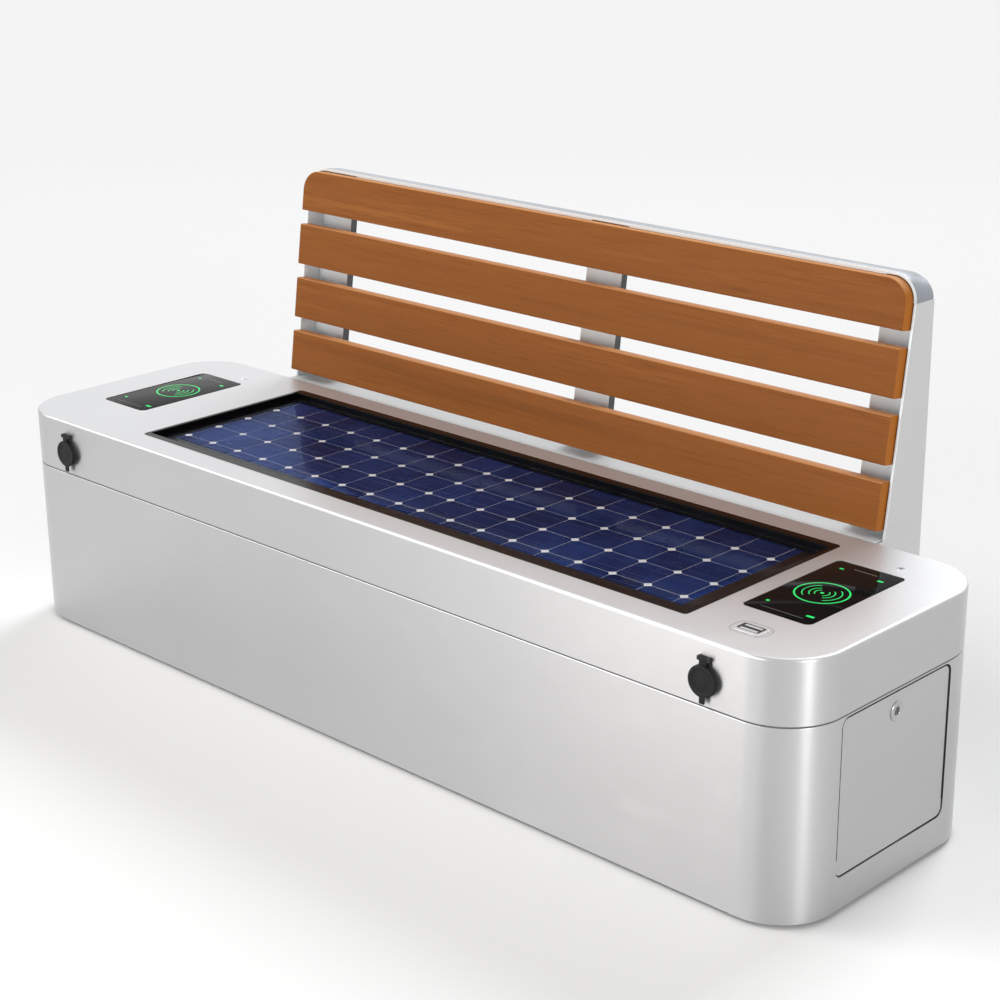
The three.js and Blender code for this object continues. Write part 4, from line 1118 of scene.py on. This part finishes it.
def makeBorder(sheet, topZ):
    bm = bmesh.new()

    def corners(low, high):
        return [bm.verts.new((x, y, topZ + lift)) for lift in (0.1 * mm, 0.2 * mm)
                for x, y in ((low[0], low[1]), (high[0], low[1]), (high[0], high[1]), (low[0], high[1]))]

    outer, inner = corners(*sheet), corners(*panel["window"])
    for side in range(4):
        after = (side + 1) % 4
        bm.faces.new((outer[4 + side], outer[4 + after], inner[4 + after], inner[4 + side]))
        bm.faces.new((outer[after], outer[side], inner[side], inner[after]))
        bm.faces.new((outer[side], outer[after], outer[4 + after], outer[4 + side]))
        bm.faces.new((inner[after], inner[side], inner[4 + side], inner[4 + after]))
    keep(newPiece("panel_border", meshOf(bm), "blackFrame"), body="base", slot="black_plastic")


# The frame's flange, a flat black edging that laps over the deck
def makeFlange():
    (lowX, lowY), (highX, highY) = panel["flange"]
    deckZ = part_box("deck_hood")[1].z + 0.02 * mm
    topZ, ease = deckZ + panel["flangeHigh"], 0.2 * mm
    frameLow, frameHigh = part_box("solar_frame")
    outer = Vector((lowX, lowY, deckZ)), Vector((highX, highY, topZ))
    lap = panel["flangeLap"]
    profile = [(0, deckZ), (0, topZ - ease), (ease, topZ)]
    bm = sweptPlan(*outer, panel["flangeCorner"], profile, 8)
    piece = newPiece("panel_flange", meshOf(bm), "bezelBlack")
    cutAway(piece, blockTool((frameLow.x + lap, frameLow.y + lap, deckZ - mm),
                             (frameHigh.x - lap, frameHigh.y - lap, topZ + mm)))
    keep(piece, body="base", slot="black_plastic")


makePanel()
makeFlange()
refined("solar_frame", "blackFrame", 0.3 * mm, slot="black_plastic")
print("panel: cells, ribbons and border")


# Backrest: three straight slats grown by rule, the top one with its rounded corners
slat = {
    "count": 3,
    "edge": 2.5 * mm,
    "edgeSteps": 4,
    "topCorner": 38 * mm,
    "cornerSteps": 16,
    "seed": 3,
}


# The lean and the pitch are read from two like slats
def leanOf():
    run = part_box("slat_2")[0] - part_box("slat_3")[0]
    return math.atan2(run.y, run.z), run.length


def slatTree():
    bench, size, sockets = nodeTree(
        "slats", ("Count", "Int"), ("Length", "Float"), ("Height", "Float"), ("Thickness", "Float"),
        ("Edge", "Float"), ("Edge Steps", "Int"), ("Pitch", "Float"), ("Lean", "Float"), ("Foot", "Vector"),
        ("Seed", "Int"))
    section = bench.node("GeometryNodeCurvePrimitiveQuadrilateral", None,
                         {"Width": size["Thickness"], "Height": size["Height"]})
    section = bench.node("GeometryNodeFilletCurve", {"mode": "POLY"},
                         {"Curve": section, "Count": size["Edge Steps"], "Radius": size["Edge"]})
    half = bench.node("ShaderNodeCombineXYZ", None, {"X": size["Length"] * 0.5})
    other = bench.node("ShaderNodeCombineXYZ", None, {"X": size["Length"] * -0.5})
    line = bench.node("GeometryNodeCurvePrimitiveLine", None, {"Start": other, "End": half})
    board = bench.node("GeometryNodeCurveToMesh", None,
                       {"Curve": line, "Profile Curve": section, "Fill Caps": True})
    step = bench.node("ShaderNodeCombineXYZ", None,
                      {"Y": size["Lean"].sine() * size["Pitch"], "Z": size["Lean"].cosine() * size["Pitch"]})
    spots = bench.node("GeometryNodeMeshLine", None,
                       {"Count": size["Count"], "Start Location": size["Foot"], "Offset": step})
    tilt = bench.node("ShaderNodeCombineXYZ", None, {"X": 0 - size["Lean"]})
    boards = bench.node("GeometryNodeInstanceOnPoints", None,
                        {"Points": spots, "Instance": board, "Rotation": tilt})
    tone = bench.node("FunctionNodeRandomValue", {"data_type": "FLOAT"}, {"Seed": size["Seed"]}, 1)
    boards = bench.node("GeometryNodeStoreNamedAttribute", {"data_type": "FLOAT", "domain": "INSTANCE"},
                        {"Geometry": boards, "Name": "boardTone", "Value": tone})
    endTree(bench, boards, "timber")
    return bench, sockets


def makeSlats():
    lean, pitch = leanOf()
    low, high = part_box("slat_4")
    length = high.x - low.x
    # across the lean: the box of a tilted board gives its height and thickness
    boxY, boxZ = high.y - low.y, high.z - low.z
    cosine, sine = math.cos(lean), math.sin(lean)
    height = (boxZ * cosine - boxY * sine) / (cosine ** 2 - sine ** 2)
    thickness = (boxY * cosine - boxZ * sine) / (cosine ** 2 - sine ** 2)
    foot = (low + high) / 2
    bench, sockets = slatTree()
    mesh = grow(bench, sockets, {
        "Count": slat["count"], "Length": length, "Height": height, "Thickness": thickness,
        "Edge": slat["edge"], "Edge Steps": slat["edgeSteps"], "Pitch": pitch, "Lean": lean,
        "Foot": foot, "Seed": slat["seed"]})
    piece = newPiece("lower_slats", mesh, "timber")
    keep(piece, "slat_2", "slat_3", "slat_4", slot="timber")
    makeTopSlat(lean, height, thickness)


def makeTopSlat(lean, height, thickness):
    low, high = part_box("slat_1")
    middle = (low + high) / 2
    half, up = (high.x - low.x) / 2, height / 2
    corner, edge = slat["topCorner"], slat["edge"]

    def outline(inset):
        radius = corner - inset
        points = [(half - inset, -up + inset)]
        for quarter, side in ((0, 1), (1, -1)):
            for step in range(slat["cornerSteps"] + 1):
                angle = math.pi / 2 * (quarter + step / slat["cornerSteps"])
                points.append((side * (half - corner) + radius * math.cos(angle),
                               up - corner + radius * math.sin(angle)))
        points.append((-half + inset, -up + inset))
        return points

    # from the rear face forwards, with a rounded arris at both faces
    steps = slat["edgeSteps"]
    turns = [math.pi / 2 * step / steps for step in range(steps + 1)]
    rear = [(edge - edge * math.sin(turn), thickness / 2 - edge + edge * math.cos(turn)) for turn in turns]
    front = [(inset, -depth) for inset, depth in reversed(rear)]
    bm = bmesh.new()
    loops = [[bm.verts.new((x, depth, z)) for x, z in outline(inset)] for inset, depth in rear + front]
    skin(bm, loops)
    bmesh.ops.recalc_face_normals(bm, faces=bm.faces)
    tilt = Matrix.Translation(middle) @ Matrix.Rotation(-lean, 4, "X")
    bmesh.ops.transform(bm, matrix=tilt, verts=bm.verts)
    mesh = meshOf(bm)
    tone = mesh.attributes.new("boardTone", "FLOAT", "POINT")
    tone.data.foreach_set("value", [0.62] * len(mesh.vertices))
    keep(newPiece("top_slat", mesh, "timber"), "slat_1", slot="timber")


# Top band: one sheet over the slats, square to their lean, so that its top falls away to the rear
band = {
    "corner": 44 * mm,
    "sheet": 5 * mm,
    "ease": 0.5 * mm,
    "rearRound": 4.6 * mm,
    "pivotY": 243 * mm,
    "steps": 16,
    "postClear": 1.6 * mm,
}


# How far the band's top falls at a point behind its pivot
def fallAway(y, z, lean, foot):
    share = max(0.0, min(1.0, (z - foot) / band["corner"]))
    return share * max(0.0, y - band["pivotY"]) * math.tan(lean)


def makeTopBand():
    lean = leanOf()[0]
    low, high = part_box("top_band")
    sheet, ease, turn, corner = band["sheet"], band["ease"], band["rearRound"], band["corner"]
    path = []
    for side, start in ((1, 0), (-1, 90)):
        for step in range(band["steps"] + 1):
            angle = math.radians(start + 90 * step / band["steps"])
            outward = Vector((math.cos(angle), 0, math.sin(angle)))
            path.append((Vector((side * (high.x - corner), 0, low.z)) + outward * corner, outward))
    bm = bmesh.new()
    loops = []
    for spot, outward in path:
        front = low.y + (spot.z - low.z) * math.tan(lean)
        section = [(front, ease), (front + ease, 0), (high.y - turn, 0)]
        for step in range(1, 5):
            angle = math.radians(90 * step / 4)
            section.append((high.y - turn + turn * math.sin(angle), turn - turn * math.cos(angle)))
        section += [(high.y - ease, sheet), (front + ease, sheet), (front, sheet - ease)]
        loop = []
        for y, inset in section:
            place = spot - outward * inset
            loop.append(bm.verts.new((place.x, y, place.z - fallAway(y, spot.z, lean, low.z))))
        loops.append(loop)
    skin(bm, loops)
    bmesh.ops.recalc_face_normals(bm, faces=bm.faces)
    # the band's dark bluish look is a painted dark reflection; its front faces take the near-white look, a painted
    # highlight
    piece = faceLook(newPiece("top_band_sheet", meshOf(bm), "band"), "post", lambda normal: normal.y < -0.5)
    keep(piece, "top_band", slot="brushed_stainless")
    # the posts' tops follow its underside; their front faces take the near-white look, painted light in the shade
    # behind the slats, their sides a near-black look, painted shade, and their rear is brushed as the frame is
    inner = high.x - sheet - 0.3 * mm
    for post in ("left_post", "middle_post", "right_post"):
        piece = faceLook(refined(post, "post", 1.0 * mm, slot="post_steel"), "shadedSide",
                         lambda normal: abs(normal.x) > 0.7)
        faceLook(piece, "frame", lambda normal: normal.y > 0.5)
        for vert in piece.data.vertices:
            if vert.co.z > low.z:
                share = min(1.0, (vert.co.z - low.z) / corner)
                vert.co.z -= fallAway(vert.co.y, vert.co.z, lean, low.z) + share * band["postClear"]
                vert.co.x = max(-inner, min(inner, vert.co.x))


makeSlats()
makeTopBand()
# the side plates' inner faces and front edges take the near-white look: painted light and a painted highlight
for end, inward in (("left", 1), ("right", -1)):
    faceLook(refined(end + "_side_plate", "frame", 0.7 * mm, slot="brushed_stainless"), "post",
             lambda normal: inward * normal.x > 0.7 or normal.y < -0.5)
# the beam's front and top take the near-white bluish look: painted light in the shade under the slats
faceLook(refined("lower_beam", "post", 1.2 * mm, slot="brushed_stainless"), "frame",
         lambda normal: normal.y > 0.5 or normal.z < -0.5)
print("backrest: slats, frame and posts")


# Chargers: black glass plates with eased edges
def makeChargers():
    for end in ("left", "right"):
        low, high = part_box(end + "_charger_glass")
        ease = charger["ease"]
        edge = quarterArc(0, high.z - ease, ease, high.z, 3)
        profile = [(0, low.z), (0, high.z - ease), *edge, (ease, high.z)]
        bm = sweptPlan(low, high, hood["chargerCorner"] - hood["chargerFit"], profile, 12)
        piece = newPiece(end + "_charger_plate", meshOf(bm), end + "Charger")
        keep(piece, end + "_charger_glass", slot="charger_glass")


# USB outlet: an oval-cornered plate with two ports, each with its pale tongue
usb = {
    "corner": 9 * mm,
    "ease": 0.7 * mm,
    "portLong": 31 * mm,
    "portWide": 7 * mm,
    "portPitch": 12 * mm,
    "tongueLong": 29 * mm,
    "tongueWide": 3.6 * mm,
    "tongueDrop": 0.25 * mm,
    "surround": (19 * mm, 10.5 * mm),  # half its length and width
    "surroundCorner": 2.5 * mm,
    "surroundHigh": 0.15 * mm,
    # the ring round the plate, a painted shadow line: half its length and width, its corner, width and height
    "shadowGasket": (30 * mm, 21 * mm),
    "shadowGasketCorner": 14 * mm,
    "shadowGasketWide": 0.8 * mm,
    "shadowGasketHigh": 0.15 * mm,
}


def makeUsb():
    low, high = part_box("usb_plate")
    middle = (low + high) / 2
    ease = usb["ease"]
    edge = quarterArc(0, high.z - ease, ease, high.z, 4)
    profile = [(0, low.z), (0, high.z - ease), *edge, (ease, high.z)]
    # the plate takes the deck's paler look, painted light from above
    piece = newPiece("usb_face", meshOf(sweptPlan(low, high, usb["corner"], profile, 14)), "deck")
    profile = [(0, high.z - 0.3 * mm), (0, high.z + usb["surroundHigh"])]
    rim = sweptPlan(*around(middle, usb["surround"]), usb["surroundCorner"], profile, 6)
    surround = newPiece("usb_surround", meshOf(rim), "blackPlastic")
    rows = [middle.y + side * usb["portPitch"] / 2 for side in (-1, 1)]
    port = (usb["portLong"] / 2, usb["portWide"] / 2)
    for part in (piece, surround):
        cutAway(part, *[blockTool((middle.x - port[0], y - port[1], low.z - mm),
                                  (middle.x + port[0], y + port[1], high.z + mm)) for y in rows])
    tongue = (usb["tongueLong"] / 2, usb["tongueWide"] / 2)
    tongues = bmesh.new()
    for y in rows:
        addBlock(tongues, (middle.x - tongue[0], y - tongue[1], low.z - 0.2 * mm),
                 (middle.x + tongue[0], y + tongue[1], high.z - usb["tongueDrop"]))
    easeEdges(piece, 0.2 * mm, 2, 60)
    keep(piece, "usb_plate", slot="brushed_stainless")
    keep(surround, body="base", slot="black_plastic")
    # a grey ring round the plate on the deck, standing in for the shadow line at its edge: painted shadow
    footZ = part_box("deck_hood")[1].z + 0.01 * mm
    wide, topZ = usb["shadowGasketWide"], footZ + usb["shadowGasketHigh"]
    profile = [(0, footZ), (0, topZ), (wide, topZ), (wide, footZ)]
    ring = sweptPlan(*around(middle, usb["shadowGasket"]), usb["shadowGasketCorner"], profile, 12, True)
    bmesh.ops.recalc_face_normals(ring, faces=ring.faces)
    keep(newPiece("usb_shadow_gasket", meshOf(ring), "greyPlastic"), body="base", slot="grey_plastic")
    white = newPiece("usb_tongues", meshOf(tongues), "whitePlastic")
    easeEdges(white, 0.3 * mm)
    keep(white, body="base", slot="grey_plastic")


# Light sensors: a bright ring round a small dark lens
sensor = {
    "lensShare": 0.42,
    "soft": 0.3 * mm,
}


def makeSensors():
    for end in ("left", "right"):
        low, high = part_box(end + "_light_sensor")
        radius, soft = (high.x - low.x) / 2, sensor["soft"]
        middle = Vector(((low.x + high.x) / 2, (low.y + high.y) / 2, 0))
        lens = radius * sensor["lensShare"]
        ring = [(lens, low.z), (radius, low.z), (radius, high.z - soft), (radius - soft, high.z),
                (lens + soft, high.z), (lens, high.z - soft), (lens, low.z)]
        keep(newPiece(end + "_sensor_ring", meshOf(turnedMesh(ring, middle, (0, 0, 1), 40)), "chromed"),
             end + "_light_sensor", slot="chromed")
        dome = [(0, low.z), (lens * 0.98, low.z), (lens * 0.98, high.z - soft),
                (lens * 0.6, high.z - soft * 0.5), (0, high.z - soft * 0.3)]
        keep(newPiece(end + "_sensor_lens", meshOf(turnedMesh(dome, middle, (0, 0, 1), 32)), "lens"),
             body="base", slot="black_plastic")


makeChargers()
makeUsb()
makeSensors()
print("deck: chargers, USB outlet and sensors")


# Rubber caps: a dished disc with a raised rim, its hinge lug and its pull tab
cap = {
    "radius": 24 * mm,
    "plug": 9 * mm,
    "plugLength": 4 * mm,
    "thickness": 6.7 * mm,
    "round": 1.6 * mm,
    "dishRadius": 17.5 * mm,
    "dishDepth": 1.3 * mm,
    "sleeve": 3 * mm,
    "sleeveHalf": 6.7 * mm,
    "lugHalf": 6 * mm,
    "lugFoot": 21.5 * mm,
    "tabHalf": 4.6 * mm,
    "tabThickness": 3 * mm,
    "tabDrop": 5 * mm,
    "pinHole": 1.8 * mm,
    "soft": 0.9 * mm,
}


def makeCaps():
    for end in ("left", "right"):
        low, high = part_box(end + "_socket_cap")
        pin = Vector(jointOf(end + "_cap_hinge")["pos_m"])
        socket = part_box(end + "_power_socket")
        middle = Vector((pin.x, high.y - cap["plugLength"], socket[0].z + hood["socketUp"]))
        radius, thick, soft = cap["radius"], cap["thickness"], cap["round"]
        dish, sunk = cap["dishRadius"], cap["dishDepth"]
        # heights run outwards, to the front
        profile = [(0, -cap["plugLength"]), (cap["plug"], -cap["plugLength"]), (cap["plug"], 0),
                   (radius - soft / 2, 0), (radius, soft / 2), (radius, thick - soft),
                   (radius - soft * 0.3, thick - soft * 0.3), (radius - soft, thick),
                   (dish + 1.2 * mm, thick),
                   (dish, thick - sunk * 0.5), (dish - 0.8 * mm, thick - sunk), (dish * 0.55, thick - sunk),
                   (dish * 0.45, thick - sunk * 0.55), (0, thick - sunk * 0.45)]
        disc = turnedMesh(profile, middle, (0, -1, 0), 72)
        lug, half, hole = bmesh.new(), cap["lugHalf"], cap["pinHole"]
        addBlock(lug, (pin.x - half, pin.y - 1.5 * mm, middle.z + cap["lugFoot"]),
                 (pin.x + half, pin.y + 1.5 * mm, pin.z - hole))
        half, outer = cap["sleeveHalf"], cap["sleeve"]
        ring = [(hole, -half), (outer, -half), (outer, half), (hole, half), (hole, -half)]
        sleeve = turnedMesh(ring, pin, (1, 0, 0), 28)
        tab, half, frontY = bmesh.new(), cap["tabHalf"], middle.y - cap["tabDrop"]
        addBlock(tab, (pin.x - half, frontY, low.z),
                 (pin.x + half, frontY + cap["tabThickness"], middle.z - radius + 3 * mm))
        for block in (lug, tab):
            bmesh.ops.bevel(block, geom=block.edges[:], offset=cap["soft"], segments=3, profile=0.5,
                            affect="EDGES")
        parts = [meshOf(part) for part in (disc, lug, sleeve, tab)]
        piece = mergedPiece(end + "_cap_rubber", parts, "rubber")
        keep(piece, end + "_socket_cap", slot="black_rubber")
        refined(end + "_power_socket", "blackPlastic", 0.3 * mm, slot="black_plastic")


makeCaps()
print("sockets: caps and bodies")


# Rear panel: formed louvres over its slots and a run of screws round its edge
rear = {
    "ventX": 420 * mm,
    "ventLong": 90 * mm,
    "ventPitch": 16 * mm,
    "ventRows": 6,
    "louvre": 6.0 * mm,
    "louvreWall": 1.0 * mm,
    "louvreLap": 2 * mm,
    "louvreDrop": 3.0 * mm,
    "screwHead": 4.6 * mm,
    "screwHigh": 2.2 * mm,
    "screwIn": 6 * mm,
    "screwsAlong": 11,
    "screwsUp": 3,
}


def louvreTree():
    bench, size, sockets = nodeTree("louvres", ("Rows", "Int"), ("Pitch", "Float"), ("Length", "Float"),
                                    ("Radius", "Float"), ("Wall", "Float"), ("First", "Vector"))
    # each louvre is a quarter turn of sheet, from its lip up into the panel over its slot
    arc = bench.node("GeometryNodeCurveArc", {"mode": "RADIUS"},
                     {"Resolution": 10, "Radius": size["Radius"], "Start Angle": math.pi,
                      "Sweep Angle": math.radians(105), "Connect Center": False})
    half = bench.node("ShaderNodeCombineXYZ", None, {"X": size["Length"] * 0.5})
    back = bench.node("ShaderNodeCombineXYZ", None, {"X": size["Length"] * -0.5})
    line = bench.node("GeometryNodeCurvePrimitiveLine", None, {"Start": back, "End": half})
    sheet = bench.node("GeometryNodeCurveToMesh", None, {"Curve": line, "Profile Curve": arc})
    louvre = thickened(bench, sheet, size["Wall"])
    step = bench.node("ShaderNodeCombineXYZ", None, {"Z": size["Pitch"]})
    spots = bench.node("GeometryNodeMeshLine", None,
                       {"Count": size["Rows"], "Start Location": size["First"], "Offset": step})
    rows = bench.node("GeometryNodeInstanceOnPoints", None, {"Points": spots, "Instance": louvre})
    endTree(bench, rows, "steel")
    return bench, sockets


def screwTree():
    bench, size, sockets = nodeTree("screws", ("Columns", "Int"), ("Rows", "Int"), ("Width", "Float"),
                                    ("Height", "Float"), ("Head", "Float"), ("High", "Float"),
                                    ("Middle", "Vector"), ("Turn", "Vector"))
    skirt = bench.node("GeometryNodeMeshCone", {"fill_type": "NGON"},
                       {"Vertices": 24, "Radius Bottom": size["Head"], "Radius Top": size["Head"] * 0.72,
                        "Depth": size["High"]})
    socket = bench.node("GeometryNodeMeshCylinder", {"fill_type": "NGON"},
                        {"Vertices": 6, "Radius": size["Head"] * 0.42, "Depth": size["High"] * 0.8})
    lift = bench.node("ShaderNodeCombineXYZ", None, {"Z": size["High"] * 0.75})
    socket = bench.node("GeometryNodeTransform", None, {"Geometry": socket, "Translation": lift})
    head = bench.node("GeometryNodeMeshBoolean", {"operation": "DIFFERENCE", "solver": "EXACT"},
                      {0: skirt, 1: socket})
    grid = bench.node("GeometryNodeMeshGrid", None,
                      {"Size X": size["Width"], "Size Y": size["Height"], "Vertices X": size["Columns"],
                       "Vertices Y": size["Rows"]})
    # only the screws round the edge stay
    x, y = bench.parts(bench.node("GeometryNodeInputPosition"))[:2]
    inner = abs(x).under(size["Width"] * 0.49) * abs(y).under(size["Height"] * 0.49)
    edge = bench.node("GeometryNodeDeleteGeometry", {"domain": "POINT"},
                      {"Geometry": grid, "Selection": inner})
    screws = bench.node("GeometryNodeInstanceOnPoints", None, {"Points": edge, "Instance": head})
    screws = bench.node("GeometryNodeRealizeInstances", None, {"Geometry": screws})
    screws = bench.node("GeometryNodeTransform", None,
                        {"Geometry": screws, "Translation": size["Middle"], "Rotation": size["Turn"]})
    endTree(bench, screws, "chromed")
    return bench, sockets


def makeRear():
    low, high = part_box("rear_panel")
    middle = (low + high) / 2
    bench, sockets = louvreTree()
    meshes = []
    for side in (-1, 1):
        first = Vector((side * rear["ventX"], high.y - 0.2 * mm,
                        middle.z - (rear["ventRows"] - 1) / 2 * rear["ventPitch"] - rear["louvreDrop"]))
        meshes.append(grow(bench, sockets, {
            "Rows": rear["ventRows"], "Pitch": rear["ventPitch"],
            "Length": rear["ventLong"] + 2 * rear["louvreLap"], "Radius": rear["louvre"],
            "Wall": rear["louvreWall"], "First": first}))
    keep(mergedPiece("vent_louvres", meshes, "steel"), body="base", slot="brushed_stainless")
    bench, sockets = screwTree()
    inset = rear["screwIn"]
    mesh = grow(bench, sockets, {
        "Columns": rear["screwsAlong"], "Rows": rear["screwsUp"], "Width": high.x - low.x - 2 * inset,
        "Height": high.z - low.z - 2 * inset, "Head": rear["screwHead"], "High": rear["screwHigh"],
        "Middle": (middle.x, high.y, middle.z), "Turn": (math.radians(-90), 0, 0)})
    keep(newPiece("rear_screws", mesh, "chromed"), body="base", slot="chromed")


makeRear()
print("rear: louvres and screws")


# CAD nodes that stay as they are and only take a finish, listed by finish
carried = {
    "steel": ["rear_panel"],
    "zinc": ["base_plate", "front_rail", "rear_rail", "left_end_frame", "left_middle_frame",
             "right_middle_frame", "right_end_frame", "equipment_plate", "battery_strap", "left_socket_nut",
             "right_socket_nut"],
    "greySealRubber": ["hood_seal"],
    "rubber": ["foot_front_left", "foot_front_right", "foot_rear_left", "foot_rear_right"],
    "glass": ["solar_glass"],
    "blackPlastic": ["solar_junction_box", "usb_module", "left_charger_housing", "right_charger_housing"],
    "copper": ["left_charger_coil", "right_charger_coil"],
    "greyPlastic": ["charge_controller"],
    "anodised": ["power_converter"],
    "battery": ["battery_pack"],
    "sheath": ["battery_lead", "panel_lead"],
    "chromed": ["door_hinge_rod"],
}


def dressCarried():
    for look, members in carried.items():
        for node in members:
            mesh = nodes[node].data
            mesh.materials.clear()
            mesh.materials.append(looks[look])


dressCarried()
print("carried:", sum(len(members) for members in carried.values()), "CAD nodes dressed")
